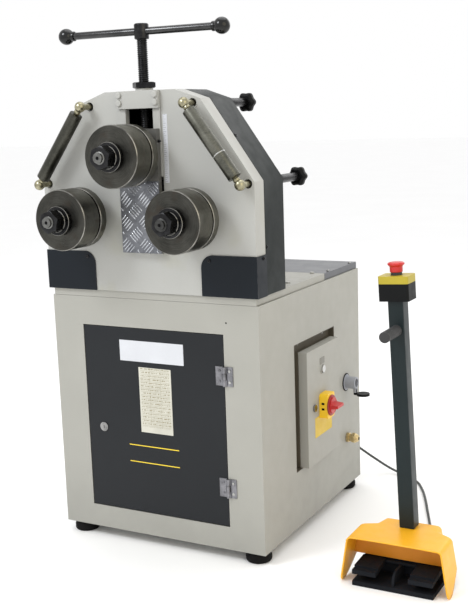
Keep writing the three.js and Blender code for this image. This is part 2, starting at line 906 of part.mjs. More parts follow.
function socketBody() {
  const flangeEnd = fitGap + socketFlangeThickness;
  const pinPlace = socketEnd - socketPinInset;
  const earReach = capLugWidth / 2 + fitGap;
  const ears = [-1, 1].map((side) => block(
    spanOf(pinPlace, earHeight),
    side < 0 ? [-earReach - earThickness, -earReach] : [earReach, earReach + earThickness],
    [-socketPinDrop - earHeight / 2, 0],
  ));
  const pinEnds = spanOf(0, 2 * earReach + earThickness);
  const barrel = join(
    bar('x', socketFlangeDiameter, [fitGap, flangeEnd]),
    bar('x', socketDiameter, [flangeEnd - fitGap, socketEnd]),
    bar('x', spigotDiameter, [-sheet - spigotLength, flangeEnd - fitGap]),
    ...ears,
    bar('y', socketPinDiameter, pinEnds, [pinPlace, -socketPinDrop], smallSides),
  );
  return cut(barrel, bar('x', socketBore, [socketEnd - socketBoreDepth, socketEnd + overrun]));
}

/** Socket cap, in a frame whose Y axis is its hinge pin. */
function socketCap() {
  const capBack = socketPinInset + fitGap;
  const lug = join(
    block([0, capBack + capThickness], spanOf(0, capLugWidth), spanOf(0, earHeight)),
    block([capBack, capBack + capThickness], spanOf(0, capLugWidth), [0, earHeight + capThickness]),
    bar('y', earHeight, spanOf(0, capLugWidth), [0, 0], smallSides),
  );
  const disc = bar('x', capDiameter, [capBack, capBack + capThickness], [0, socketPinDrop]);
  const pinHole = bar('y', socketPinDiameter + 2 * fitGap, spanOf(0, overrun), [0, 0], smallSides);
  return cut(join(lug, disc), pinHole);
}

/** The socket with its cap swung open. */
function socketAssembly() {
  const pinPlace = [socketEnd - socketPinInset, 0, -socketPinDrop];
  const cap = piece('socket_cap', socketCap(), blackPlastic, pinPlace);
  cap.rotation.y = quarterTurn;
  return assembly(
    [cabinetSide, socketSetback, socketHeight],
    piece('socket_body', socketBody(), greyPlastic),
    cap,
  );
}

function cableGland() {
  const hexEnd = fitGap + glandHexLength;
  return join(
    hexagon('y', glandHexWidth, [fitGap, hexEnd]),
    bar('y', glandDomeDiameter, [hexEnd - fitGap, glandLength], [0, 0], smallSides),
    bar('y', glandSpigotDiameter, [-sheet - spigotLength, hexEnd - fitGap], [0, 0], smallSides),
  );
}

// Head, in a frame on the top plate: Y backwards from the front of the front plate

function frontPlate() {
  const through = [-overrun, plateThickness + overrun];
  const plate = extruded('y', shapeOf(headOutline()), [0, plateThickness]);
  const boss = bar('y', bossDiameter, [-bossThickness, plateThickness / 2], [0, pinionHeight]);
  const slot = block([-slotHalfWidth, slotHalfWidth], through, [slotFloor, headHeight + overrun]);
  const bores = [-1, 1].map((side) => (
    bar('y', journalDiameter + 2 * fitGap, through, [side * rollOffset, lowerRollHeight])
  ));
  const pinionBore = bar(
    'y',
    pinionStubDiameter + 2 * fitGap,
    [gearFront - pinionStubLength - gearGap, plateThickness + overrun],
    [0, pinionHeight],
  );
  const rodHoles = guidePlaces().flatMap((place) => [
    bar('y', rodDiameter + 2 * fitGap, through, place, smallSides),
    bar('y', rodMouthDiameter, [-overrun, rodMouthDepth], place, smallSides),
  ]);
  return cut(join(plate, boss), slot, ...bores, pinionBore, ...rodHoles);
}

function gearCover() {
  const inner = insetOutline(headOutline(), coverWall);
  const depths = [plateThickness - overrun, headDepth - coverWall];
  const halfInside = headHalfWidth - coverWall;
  const bottom = block([-halfInside, halfInside], depths, [-overrun, coverWall + overrun]);
  const sleeveHoles = guidePlaces().map((place) => (
    bar('y', rodSleeveDiameter + 2 * fitGap, spanOf(headDepth, overrun), place)
  ));
  return cut(
    extruded('y', shapeOf(headOutline()), [plateThickness + fitGap, headDepth]),
    extruded('y', shapeOf(inner), depths),
    bottom,
    ...sleeveHoles,
  );
}

/** A corner guard, for the right side with side = 1 and mirrored with side = -1. */
function cornerGuard(side) {
  const outer = headHalfWidth + fitGap + guardThickness;
  const front = -fitGap - guardThickness;
  const skin = new THREE.Shape();
  skin.moveTo(guardInner, fitGap);
  skin.lineTo(outer, fitGap);
  skin.lineTo(outer, guardHeight);
  const roundMiddle = [guardInner + guardRound, guardHeight - guardRound];
  skin.lineTo(guardInner + guardRound, guardHeight);
  skin.absarc(...roundMiddle, guardRound, quarterTurn, 2 * quarterTurn, false);
  const mirrored = skin.getPoints(6).map((point) => [side * point.x, point.y]);
  const sideSkin = [side * outer, side * (outer - guardThickness)].sort((a, b) => a - b);
  return join(
    extruded('y', shapeOf(mirrored), [front, -fitGap]),
    block(sideSkin, [front, plateThickness], [fitGap, guardHeight]),
  );
}

function bridge() {
  const halfWidth = slotHalfWidth - fitGap;
  const collarHeights = [headHeight - fitGap, headHeight + bridgeCollarHeight];
  return cut(
    join(
      block([-halfWidth, halfWidth], [-bridgeProud, plateThickness], [bridgeBottom, headHeight]),
      bar('z', bridgeCollarDiameter, collarHeights, [0, screwSetback]),
    ),
    bar('z', screwDiameter + 2 * fitGap, [0, headHeight + overrun], [0, screwSetback]),
  );
}

function slideRail(side) {
  const across = [side * railInner, side * (railInner + railWidth)].sort((a, b) => a - b);
  return block(across, [-railProud, railDepth], [railBottom, bridgeBottom - fitGap]);
}

// Top slide, in a frame on the top roll's axis

function topSlide() {
  const flangeRear = -railProud - fitGap;
  const tongueHalfWidth = railInner - fitGap;
  const retainerFront = plateThickness + fitGap;
  const heights = [-slideBelow, slideAbove];
  const skirtFront = -slideProud + checkerThickness + fitGap;
  const skirtHeights = [-slideBelow - skirtHeight, -slideBelow + fitGap];
  const flange = block([-slideHalfWidth, slideHalfWidth], [-slideProud, flangeRear], heights);
  const tongue = block([-tongueHalfWidth, tongueHalfWidth], [flangeRear - skirtWall, slideRear], heights);
  const retainer = block([-retainerHalfWidth, retainerHalfWidth], [retainerFront, slideRear], heights);
  const skirtOutside = block([-slideHalfWidth, slideHalfWidth], [skirtFront, flangeRear], skirtHeights);
  const skirtInside = block(
    [-slideHalfWidth + skirtWall, slideHalfWidth - skirtWall],
    [skirtFront + skirtWall, flangeRear + overrun],
    [-slideBelow - skirtHeight - overrun, -slideBelow],
  );
  const shaftBore = bar('y', topJournalDiameter + 2 * fitGap, [-slideProud - overrun, slideRear + overrun]);
  const pocket = bar(
    'z',
    screwDiameter + 2 * fitGap,
    [slideAbove - screwPocket, slideAbove + overrun],
    [0, screwSetback],
  );
  return cut(join(flange, tongue, retainer, cut(skirtOutside, skirtInside)), shaftBore, pocket);
}

function checkerPlate() {
  return block(
    [-slideHalfWidth, slideHalfWidth],
    [-slideProud, -slideProud + checkerThickness],
    [-slideBelow - skirtHeight, -slideBelow - fitGap],
  );
}

/** Press screw, in a frame on its axis at the level of the top roll's axis. */
function pressScrew() {
  const hubBottom = slideAbove + screwReach;
  const tommyHole = bar(
    'x',
    tommyDiameter + 2 * fitGap,
    spanOf(0, screwHubDiameter + overrun),
    [0, hubBottom + screwHubHeight / 2],
  );
  return cut(
    join(
      bar('z', screwDiameter, [slideAbove - screwPocket + fitGap, hubBottom + fitGap]),
      bar('z', screwHubDiameter, [hubBottom, hubBottom + screwHubHeight]),
    ),
    tommyHole,
  );
}

function tommyBar() {
  return join(
    bar('x', tommyDiameter, spanOf(0, tommyLength), [0, 0], smallSides),
    ball(tommyBallDiameter, [-tommyLength / 2, 0, 0]),
    ball(tommyBallDiameter, [tommyLength / 2, 0, 0]),
  );
}

function lockNut() {
  return cut(
    hexagon('z', lockNutWidth, [0, lockNutHeight]),
    bar('z', screwDiameter + 2 * fitGap, [-overrun, lockNutHeight + overrun]),
  );
}

// Rolls, shafts and nuts, in frames on their axis with Y = 0 at the front of the front plate

function roll() {
  const grooveFront = -rollStandoff - rearDiscWidth - grooveWidth;
  const grooveRear = -rollStandoff - rearDiscWidth;
  const solid = turned('y', [
    [0, -rollFront],
    [rollDiameter - 2 * rollEdge, -rollFront],
    [rollDiameter, -rollFront + rollEdge],
    [rollDiameter, grooveFront],
    [grooveDiameter, grooveFront],
    [grooveDiameter, grooveRear],
    [rollDiameter, grooveRear],
    [rollDiameter, -rollStandoff - rollEdge],
    [rollDiameter - 2 * rollEdge, -rollStandoff],
    [0, -rollStandoff],
  ], bigSides);
  return cut(solid, bar('y', seatDiameter + 2 * fitGap, [-rollFront - overrun, 0]));
}

/** Points of a roll shaft from its collar forwards to its tip. */
function shaftNose(collarDiameter) {
  const seatEnd = -rollFront + fitGap;
  const nutEnd = -rollFront - fitGap - washerThickness - nutLength;
  return [
    [collarDiameter, -rollStandoff + fitGap],
    [seatDiameter, -rollStandoff + fitGap],
    [seatDiameter, seatEnd],
    [threadDiameter, seatEnd],
    [threadDiameter, nutEnd],
    [tipDiameter, nutEnd],
    [tipDiameter, nutEnd - tipLength],
    [centreHoleDiameter, nutEnd - tipLength],
    [0, nutEnd - tipLength + centreHoleDepth],
  ];
}

function clampNut() {
  const washerFront = -rollFront - fitGap - washerThickness;
  return cut(
    join(
      bar('y', washerDiameter, [washerFront, -rollFront - fitGap]),
      hexagon('y', nutWidth, [washerFront - nutLength, washerFront + fitGap]),
    ),
    bar('y', threadDiameter + 2 * fitGap, [-rollFront - 4 * overrun, 0]),
  );
}

/** A spur gear's outline, in X and Z, with the middle of one tooth at an angle. */
function toothedWheel(teeth, firstToothAngle) {
  const pitchRadius = (gearModule * teeth) / 2;
  const tipRadius = pitchRadius + gearModule * toothAddendumShare;
  const rootRadius = pitchRadius - gearModule * toothDedendumShare;
  const pitchAngle = fullTurn / teeth;
  const halfTooth = (pitchAngle * toothThicknessShare) / 2;
  const halfTip = halfTooth * toothTipShare;
  const halfRoot = halfTooth * (2 - toothTipShare);
  const points = [];
  for (let tooth = 0; tooth < teeth; tooth += 1) {
    const middle = firstToothAngle + tooth * pitchAngle;
    const corners = [
      [-halfRoot, rootRadius],
      [-halfTip, tipRadius],
      [halfTip, tipRadius],
      [halfRoot, rootRadius],
    ];
    corners.forEach(([angle, radius]) => {
      points.push([radius * Math.cos(middle + angle), radius * Math.sin(middle + angle)]);
    });
  }
  return shapeOf(points);
}

/** Angle of a tooth of a lower shaft's gear that fits the pinion, whose first tooth points up. */
function gearToothAngle(side) {
  const towardsGear = Math.atan2(pinionDrop, side * rollOffset);
  const pinionRadius = (gearModule * pinionTeeth) / 2;
  const gearRadius = (gearModule * gearTeeth) / 2;
  const pitch = Math.PI * gearModule;
  const arc = (quarterTurn - towardsGear) * pinionRadius;
  return towardsGear + Math.PI - (arc + pitch / 2) / gearRadius;
}

function lowerShaft(side) {
  const tail = gearRear + shaftTail;
  const shaft = turned('y', [
    [0, tail],
    [journalDiameter, tail],
    [journalDiameter, -fitGap],
    [lowerCollarDiameter, -fitGap],
    ...shaftNose(lowerCollarDiameter),
  ].reverse());
  const gear = extruded('y', toothedWheel(gearTeeth, gearToothAngle(side)), [gearFront, gearRear]);
  const hub = bar('y', hubDiameter, [plateThickness + fitGap, gearFront + fitGap]);
  return join(shaft, gear, hub);
}

function topShaft() {
  const tail = slideRear + fitGap + tailCollarLength;
  return turned('y', [
    [0, tail],
    [tailCollarDiameter, tail],
    [tailCollarDiameter, slideRear + fitGap],
    [topJournalDiameter, slideRear + fitGap],
    [topJournalDiameter, -slideProud - fitGap],
    [topCollarDiameter, -slideProud - fitGap],
    ...shaftNose(topCollarDiameter),
  ].reverse());
}

function drivePinion() {
  return join(
    extruded('y', toothedWheel(pinionTeeth, quarterTurn), [gearFront, gearRear]),
    bar('y', pinionStubDiameter, [gearFront - pinionStubLength, gearFront + fitGap]),
    bar('y', pinionTailDiameter, [gearRear - fitGap, gearboxFront + pinionTailLength]),
  );
}

function gearmotor() {
  const gearbox = block(
    spanOf(gearboxShift, gearboxWidth),
    [gearboxFront, gearboxRear],
    [fitGap, gearboxHeight],
  );
  const motor = bar('z', motorDiameter, [-motorLength, -fitGap], [motorShift, motorSetback]);
  const motorNeck = bar('z', motorNeckDiameter, [-2 * fitGap, 2 * fitGap], [motorShift, motorSetback]);
  const bore = bar(
    'y',
    pinionTailDiameter + 2 * fitGap,
    [gearboxFront - overrun, gearboxFront + pinionTailLength + fitGap],
    [0, pinionHeight],
  );
  return cut(join(gearbox, motor, motorNeck), bore);
}

// Side guides, in a frame on the middle of the roller with Z along its axle

function guideAxle() {
  const half = guideLength / 2;
  const rollerEnd = half - guideRollerInset;
  const ends = [-1, 1].flatMap((end) => {
    const neck = [end * (rollerEnd + fitGap), end * half].sort((a, b) => a - b);
    return [
      ball(guideBallDiameter, [0, 0, end * half]),
      bar('z', guideNeckDiameter, neck, [0, 0], smallSides),
      bar('y', guideNeckDiameter, [0, guideNeckReach], [0, end * half], smallSides),
    ];
  });
  const stubHoles = [-1, 1].map((end) => bar(
    'y',
    rodStubDiameter + 2 * fitGap,
    [guideNeckReach - rodStubLength, guideNeckReach + overrun],
    [0, end * half],
    smallSides,
  ));
  const axle = bar('z', guideAxleDiameter, [-half, half], [0, 0], smallSides);
  return cut(join(axle, ...ends), ...stubHoles);
}

function guideRoller() {
  const length = guideLength - 2 * guideRollerInset;
  return cut(
    bar('z', guideRollerDiameter, spanOf(0, length)),
    bar('z', guideAxleDiameter + 2 * fitGap, spanOf(0, length + overrun), [0, 0], smallSides),
  );
}

/** A guide's rod with its star knob, in a frame on the rod with Y = 0 at the plate's front. */
function guideRod() {
  const rodFront = guideNeckReach - guideForward + fitGap;
  const stubEnds = [rodFront - rodStubLength + fitGap, rodFront + fitGap];
  const rodEnds = [rodFront, knobBehind - rodSleeveLength + fitGap];
  const star = [];
  for (let i = 0; i < 2 * starLobes; i += 1) {
    const radius = (starKnobDiameter / 2) * (i % 2 ? starWaistShare : 1);
    [-1, 1].forEach((edge) => {
      const angle = ((i + edge / 4) * fullTurn) / (2 * starLobes);
      star.push([radius * Math.cos(angle), radius * Math.sin(angle)]);
    });
  }
  return join(
    bar('y', rodStubDiameter, stubEnds, [0, 0], smallSides),
    bar('y', rodDiameter, rodEnds, [0, 0], smallSides),
    bar('y', rodSleeveDiameter, [knobBehind - rodSleeveLength, knobBehind + fitGap]),
    extruded('y', shapeOf(star), [knobBehind, knobBehind + starKnobThickness]),
  );
}

function guideAssembly(name, side) {
  const upperPlace = [side * guideUpperOffset, 0, guideUpperHeight];
  const lowerPlace = [side * guideLowerOffset, 0, guideLowerHeight];
  const carrier = assembly(
    [
      (side * (guideUpperOffset + guideLowerOffset)) / 2,
      -guideForward,
      (guideUpperHeight + guideLowerHeight) / 2,
    ],
    piece(`${name}_guide_axle`, guideAxle(), brass),
    piece(`${name}_guide_roller`, guideRoller(), darkSteel),
  );
  carrier.rotation.y = -side * guideSlant;
  return [
    carrier,
    piece(`${name}_upper_rod`, guideRod(), blackSteel, upperPlace),
    piece(`${name}_lower_rod`, guideRod(), blackSteel, lowerPlace),
  ];
}

function rollSet(name, shaft, place) {
  return assembly(
    place,
    piece(`${name}_shaft`, shaft, blackSteel),
    piece(`${name}_roll`, roll(), darkSteel),
    piece(`${name}_roll_nut`, clampNut(), blackSteel),
  );
}

function slideAssembly() {
  const tommyPlace = [0, 0, slideAbove + screwReach + screwHubHeight / 2];
  const screw = assembly(
    [0, screwSetback, 0],
    piece('press_screw', pressScrew(), blackSteel),
    piece('tommy_bar', tommyBar(), blackSteel, tommyPlace),
  );
  screw.rotation.z = THREE.MathUtils.degToRad(tommyTurn);
  return assembly(
    [0, 0, topRollHeight],
    piece('top_slide', topSlide(), greyPaint),
    piece('checker_plate', checkerPlate(), aluminium),
    rollSet('top', topShaft(), [0, 0, 0]),
    screw,
  );
}

function headAssembly() {
  return assembly(
    [0, cabinetFront - plateOverhang, deckTop],
    piece('front_plate', frontPlate(), creamPaint),
    piece('gear_cover', gearCover(), greyPaint),
    piece('left_corner_guard', cornerGuard(-1), greyPaint),
    piece('right_corner_guard', cornerGuard(1), greyPaint),
    piece('screw_block', bridge(), creamPaint),
    piece('left_slide_rail', slideRail(-1), creamPaint),
    piece('right_slide_rail', slideRail(1), creamPaint),
    piece('lock_nut', lockNut(), blackSteel, [0, screwSetback, headHeight + bridgeCollarHeight + fitGap]),
    slideAssembly(),
    rollSet('left', lowerShaft(-1), [-rollOffset, 0, lowerRollHeight]),
    rollSet('right', lowerShaft(1), [rollOffset, 0, lowerRollHeight]),
    piece('drive_pinion', drivePinion(), darkSteel, [0, 0, pinionHeight]),
    piece('gearmotor', gearmotor(), greyPaint),
    ...guideAssembly('left', -1),
    ...guideAssembly('right', 1),
  );
}

// Pedal stand, in a frame on the floor below its middle

/** The rib between the pedals, round at its upper front. */
function ribProfile() {
  const shape = new THREE.Shape();
  shape.moveTo(ribFront, baseThickness / 2);
  shape.lineTo(housingFront + fitGap, baseThickness / 2);
  shape.lineTo(housingFront + fitGap, ribHeight);
  shape.lineTo(ribFront + ribRound, ribHeight);
  shape.absarc(ribFront + ribRound, ribHeight - ribRound, ribRound, quarterTurn, 2 * quarterTurn, false);
  return shape;
}

function pedalBase() {
  const pivotEnd = pedalOuter + fitGap;
  const inletEnds = [housingRear - fitGap, baseRear + inletReach];
  return join(
    block([-baseHalfWidth, baseHalfWidth], [baseFront, baseRear], [0, baseThickness]),
    block(
      [-housingHalfWidth, housingHalfWidth],
      [housingFront, housingRear],
      [baseThickness / 2, housingHeight],
    ),
    block([-baseHalfWidth, baseHalfWidth], [housingFront, baseRear], [baseThickness / 2, sillHeight]),
    extruded('x', ribProfile(), [-ribHalfWidth, ribHalfWidth]),
    bar('x', pivotDiameter, [-pivotEnd, pivotEnd], [pivotSetback, pivotHeight], smallSides),
    bar('y', inletDiameter, inletEnds, [inletOffset, inletHeight], smallSides),
  );
}

/** A pedal, in a frame whose X axis is the pivot. */
function pedal(side) {
  const across = [side * pedalInner, side * pedalOuter].sort((a, b) => a - b);
  const profile = [
    [pedalFront, pedalLipBottom],
    [pedalRear, pedalRearBottom],
    [pedalRear, pedalRearTop],
    [pedalStep, pedalStepTop],
    [pedalStep, pedalLipTop],
    [pedalFront, pedalLipTop],
  ];
  const outline = profile.map(([y, z]) => [y - pivotSetback, z - pivotHeight]);
  return cut(
    extruded('x', shapeOf(outline), across),
    bar('x', pivotDiameter + 2 * fitGap, [across[0] - overrun, across[1] + overrun], [0, 0], smallSides),
  );
}

/** The shield's section across the stand, drawn in by a distance. */
function shieldSection(inset) {
  const top = shieldTop - inset;
  const lean = (shieldFootHalfWidth - shieldTopHalfWidth) / shieldTop;
  const footHalf = shieldFootHalfWidth - inset;
  const wallTop = footHalf - lean * (top - shieldCorner);
  const cornerX = wallTop - shieldCorner;
  const cornerY = top - shieldCorner;
  const shape = new THREE.Shape();
  shape.moveTo(-footHalf, 0);
  shape.lineTo(footHalf, 0);
  shape.lineTo(wallTop, cornerY);
  shape.absarc(cornerX, cornerY, shieldCorner, 0, quarterTurn, false);
  shape.lineTo(-cornerX, top);
  shape.absarc(-cornerX, cornerY, shieldCorner, quarterTurn, 2 * quarterTurn, false);
  return shape;
}

/** The shield's plan, narrower behind its shoulders. */
function shieldPlan(inset, front) {
  const right = [
    [shieldFootHalfWidth + inset, front],
    [shieldFootHalfWidth + inset, shieldShoulder - inset],
    [shieldNeckHalfWidth - inset, shieldNeck - inset],
    [shieldRearHalfWidth - inset, shieldRear - inset],
  ];
  return shapeOf([...right, ...right.map(([x, y]) => [-x, y]).reverse()]);
}

/** The shield seen from the side: front legs down to the floor and a skirt behind them. */
function shieldProfile() {
  const shape = new THREE.Shape();
  shape.moveTo(shieldFront, shieldTop);
  shape.lineTo(shieldFront, legTipRound);
  shape.absarc(shieldFront + legTipRound, legTipRound, legTipRound, Math.PI, 1.5 * Math.PI, false);
  shape.lineTo(shieldLegRear - legTipRound, 0);
  shape.quadraticCurveTo(shieldLegRear, legTipRound, shieldSkirtFront, shieldSkirt);
  shape.lineTo(shieldRear, shieldSkirt);
  shape.lineTo(shieldRear, shieldTop);
  return shape;
}

function footShield() {
  const heights = [-overrun, shieldTop + overrun];
  const outside = extruded('y', shieldSection(0), [shieldFront, shieldRear])
    .intersect(extruded('z', shieldPlan(0, shieldFront - overrun), heights));
  const inside = extruded('y', shieldSection(shieldWall), [shieldFront - overrun, shieldRear - shieldWall])
    .intersect(extruded('z', shieldPlan(shieldWall, shieldFront - 2 * overrun), heights));
  const wide = 2 * shieldFootHalfWidth;
  const back = block(
    [-wide, wide],
    [pedalRear + fitGap, housingFront - fitGap],
    [shieldBackBottom, shieldTop],
  );
  return join(
    cut(outside, inside).intersect(extruded('x', shieldProfile(), [-wide, wide])),
    back.intersect(outside),
  );
}

// Column and emergency stop, in a leaning frame on the shield's top

function column() {
  const lean = THREE.MathUtils.degToRad(columnLean);
  const post = block(spanOf(0, columnWidth), spanOf(0, columnWidth), [-columnWidth, columnHeight]);
  const handGrip = bar(
    'y',
    handGripDiameter,
    [-columnWidth / 2 - handGripLength, -columnWidth / 2 + fitGap],
    [0, handGripHeight],
  );
  const floor = new THREE.BoxGeometry(4 * columnWidth, 4 * columnWidth, 4 * columnWidth);
  floor.translate(0, 0, -2 * columnWidth).rotateY(-lean);
  return cut(join(post, handGrip), solidOf(floor));
}

/** A rectangular box with round upright corners. */
function roundedBox(width, depth, corner, heights) {
  return extruded('z', roundedRectangle(spanOf(0, width), spanOf(0, depth), corner), heights);
}

function stopBox() {
  return cut(
    roundedBox(stopBoxWidth, stopBoxDepth, stopCorner, [0, stopBoxHeight]),
    roundedBox(
      stopBoxWidth - 2 * stopWall,
      stopBoxDepth - 2 * stopWall,
      stopCorner - stopWall,
      [stopWall, stopBoxHeight + overrun],
    ),
  );
}

function stopLid() {
  return cut(
    roundedBox(stopBoxWidth, stopBoxDepth, stopCorner, [0, stopLidHeight]),
    roundedBox(
      stopBoxWidth - 2 * stopWall,
      stopBoxDepth - 2 * stopWall,
      stopCorner - stopWall,
      [-overrun, stopLidHeight - stopWall],
    ),
    bar('z', stopStemDiameter + 2 * fitGap, [0, stopLidHeight + overrun]),
  );
}

/** Emergency stop button, in a frame on the lid's top. */
function stopButton() {
  return turned('z', [
    [0, -stopStemBelow],
    [stopStemDiameter, -stopStemBelow],
    [stopStemDiameter, 0],
    [stopNeckDiameter, 0],
    [stopNeckDiameter, stopNeckTop],
    [stopBodyDiameter, stopNeckTop],
    [stopBodyDiameter, stopBodyTop],
    [mushroomDiameter, mushroomRim],
    [mushroomDiameter, mushroomEdge],
    [mushroomCrownDiameter, mushroomTop],
    [0, mushroomTop],
  ]);
}

function standAssembly() {
  const pivot = [0, pivotSetback, pivotHeight];
  const lidBottom = columnHeight + stopBoxHeight + 2 * fitGap;
  const post = assembly(
    [0, columnSetback, shieldTop + fitGap],
    piece('column', column(), greyPaint),
    piece('stop_box', stopBox(), blackPlastic, [0, 0, columnHeight + fitGap]),
    piece('stop_lid', stopLid(), yellowPlastic, [0, 0, lidBottom]),
    piece('stop_button', stopButton(), redPlastic, [0, 0, lidBottom + stopLidHeight]),
  );
  post.rotation.y = THREE.MathUtils.degToRad(columnLean);
  return assembly(
    [standOffset, -standForward, 0],
    piece('pedal_base', pedalBase(), blackPlastic),
    piece('left_pedal', pedal(-1), blackPlastic, pivot),
    piece('right_pedal', pedal(1), blackPlastic, pivot),
    piece('foot_shield', footShield(), shieldPaint),
    post,
  );
}

function controlCable() {
  const points = cableRoute.map((place) => new THREE.Vector3(...place));
  const route = new THREE.CatmullRomCurve3(points, false, 'centripetal');
  const section = new THREE.Shape();
  for (let side = 0; side < cableSides; side += 1) {
    const angle = (side * fullTurn) / cableSides;
    const point = [Math.cos(angle) * cableDiameter / 2, Math.sin(angle) * cableDiameter / 2];
    if (side === 0) section.moveTo(...point);
    else section.lineTo(...point);
  }
  return solidOf(new THREE.ExtrudeGeometry(section, { steps: cableSteps, extrudePath: route }));
}

function cabinetAssembly() {
  return assembly(
    [0, 0, footHeight],
    piece('cabinet_shell', cabinetShell(), creamPaint),
    piece('top_plate', topPlate(), creamPaint, [0, 0, cabinetHeight + fitGap]),
    piece('rear_lid', rearLid(), greyPaint, [0, 0, cabinetHeight + fitGap]),
    piece('cable_gland', cableGland(), blackPlastic, [glandOffset, -cabinetFront, glandHeight]),
    cabinetDoorAssembly(),
    controlBoxAssembly(),
    socketAssembly(),
  );
}

const rigidPieces = assembly([0, 0, 0], ...feet(), cabinetAssembly(), headAssembly(), standAssembly());
const ringRoller = assembly([0, 0, 0], rigidPieces, piece('control_cable', controlCable(), cableRubber));

// The origin lies on the floor below the middle of everything but the cable.
ringRoller.updateMatrixWorld(true);
const middle = new THREE.Box3().setFromObject(rigidPieces, true).getCenter(new THREE.Vector3());
ringRoller.position.set(-middle.x, -middle.y, 0);

export default ringRoller;
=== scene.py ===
"""Looks of a ring roller: its finishes, small details, light and camera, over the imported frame."""

from math import cos, pi, radians, sin, sqrt

import bpy
from mathutils import Matrix, Vector


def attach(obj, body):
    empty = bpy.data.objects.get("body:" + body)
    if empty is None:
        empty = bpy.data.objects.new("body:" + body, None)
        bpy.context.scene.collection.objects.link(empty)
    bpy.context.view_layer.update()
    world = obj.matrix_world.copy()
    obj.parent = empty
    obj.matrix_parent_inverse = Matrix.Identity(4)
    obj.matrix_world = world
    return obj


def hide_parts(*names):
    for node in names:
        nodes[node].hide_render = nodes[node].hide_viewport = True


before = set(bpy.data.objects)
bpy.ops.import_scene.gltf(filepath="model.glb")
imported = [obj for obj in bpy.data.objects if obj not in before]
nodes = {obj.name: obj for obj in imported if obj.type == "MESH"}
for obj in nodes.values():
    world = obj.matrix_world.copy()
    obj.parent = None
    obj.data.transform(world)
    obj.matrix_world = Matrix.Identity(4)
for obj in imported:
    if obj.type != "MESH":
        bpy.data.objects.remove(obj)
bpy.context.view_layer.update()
scene = bpy.context.scene

# Middle of the cabinet's footprint in the row frame, in millimetres
CABINET = Vector((-227.3612, 85.45, 0))

# Places in millimetres from there: X to the right, Y inwards from the front, Z up from the floor
FRONT = -332  # face of the front plate
DECK = 684  # top of the cabinet
DOOR_SKIN = -324.9  # just inside the face of the cabinet door
PANEL_SKIN = 325.2  # just inside the face of the panel door
SOCKET_SKIN = 305.5  # side wall round the socket and the gland
LOWER_ROLL = 878
TOP_ROLL = 1030
ROLL_OFFSET = 160
SCREW = Vector((0, FRONT + 25, 0))
STAND = Vector((637, -24, 0))  # middle of the pedal stand
HINGES = (195.5, 485)  # heights of the door hinges
TABLE_LEFT, TABLE_RIGHT, TABLE_BOTTOM, TABLE_TOP = -47, 50, 313, 487  # the ruled table on the door

ACROSS = Vector((1, 0, 0))
INWARD = Vector((0, 1, 0))
UPWARD = Vector((0, 0, 1))


def at(point):
    """A place given in millimetres from the middle of the cabinet, in metres in the row frame."""
    return (Vector(point) + CABINET) / 1000


def across_axis(axis):
    """An axis of length 1 and two directions across it."""
    axis = Vector(axis).normalized()
    side = axis.cross(UPWARD if abs(axis.z) < 0.9 else ACROSS).normalized()
    return axis, side, axis.cross(side)


def srgb(*channels):
    """A colour as the photograph shows it, from 0 to 255, as linear light."""
    shares = [channel / 255 for channel in channels]
    return (*(share / 12.92 if share < 0.04045 else ((share + 0.055) / 1.055) ** 2.4 for share in shares), 1)


def shift(colour, factor, lift=0.0):
    """A colour made lighter or darker."""
    return tuple(min(1, channel * factor + lift) for channel in colour[:3]) + (1,)


def new_object(name, data):
    item = bpy.data.objects.new(name, data)
    scene.collection.objects.link(item)
    return item


# Camera, at the photograph's place and angle

CAMERA_LENS = 60.7
CAMERA_PLACE = (1406.3, -2488.9, 1111.4)
CAMERA_AXES = (  # right, up and back
    (0.882545, 0.469031, -0.033538), (-0.055098, 0.173978, 0.983207), (0.466989, -0.865876, 0.179386)
)


def add_camera():
    data = bpy.data.cameras.new("camera")
    data.lens = CAMERA_LENS
    camera = new_object("camera", data)
    camera.matrix_world = Matrix.Translation(at(CAMERA_PLACE)) @ Matrix(CAMERA_AXES).transposed().to_4x4()
    scene.camera = camera


add_camera()


# Materials

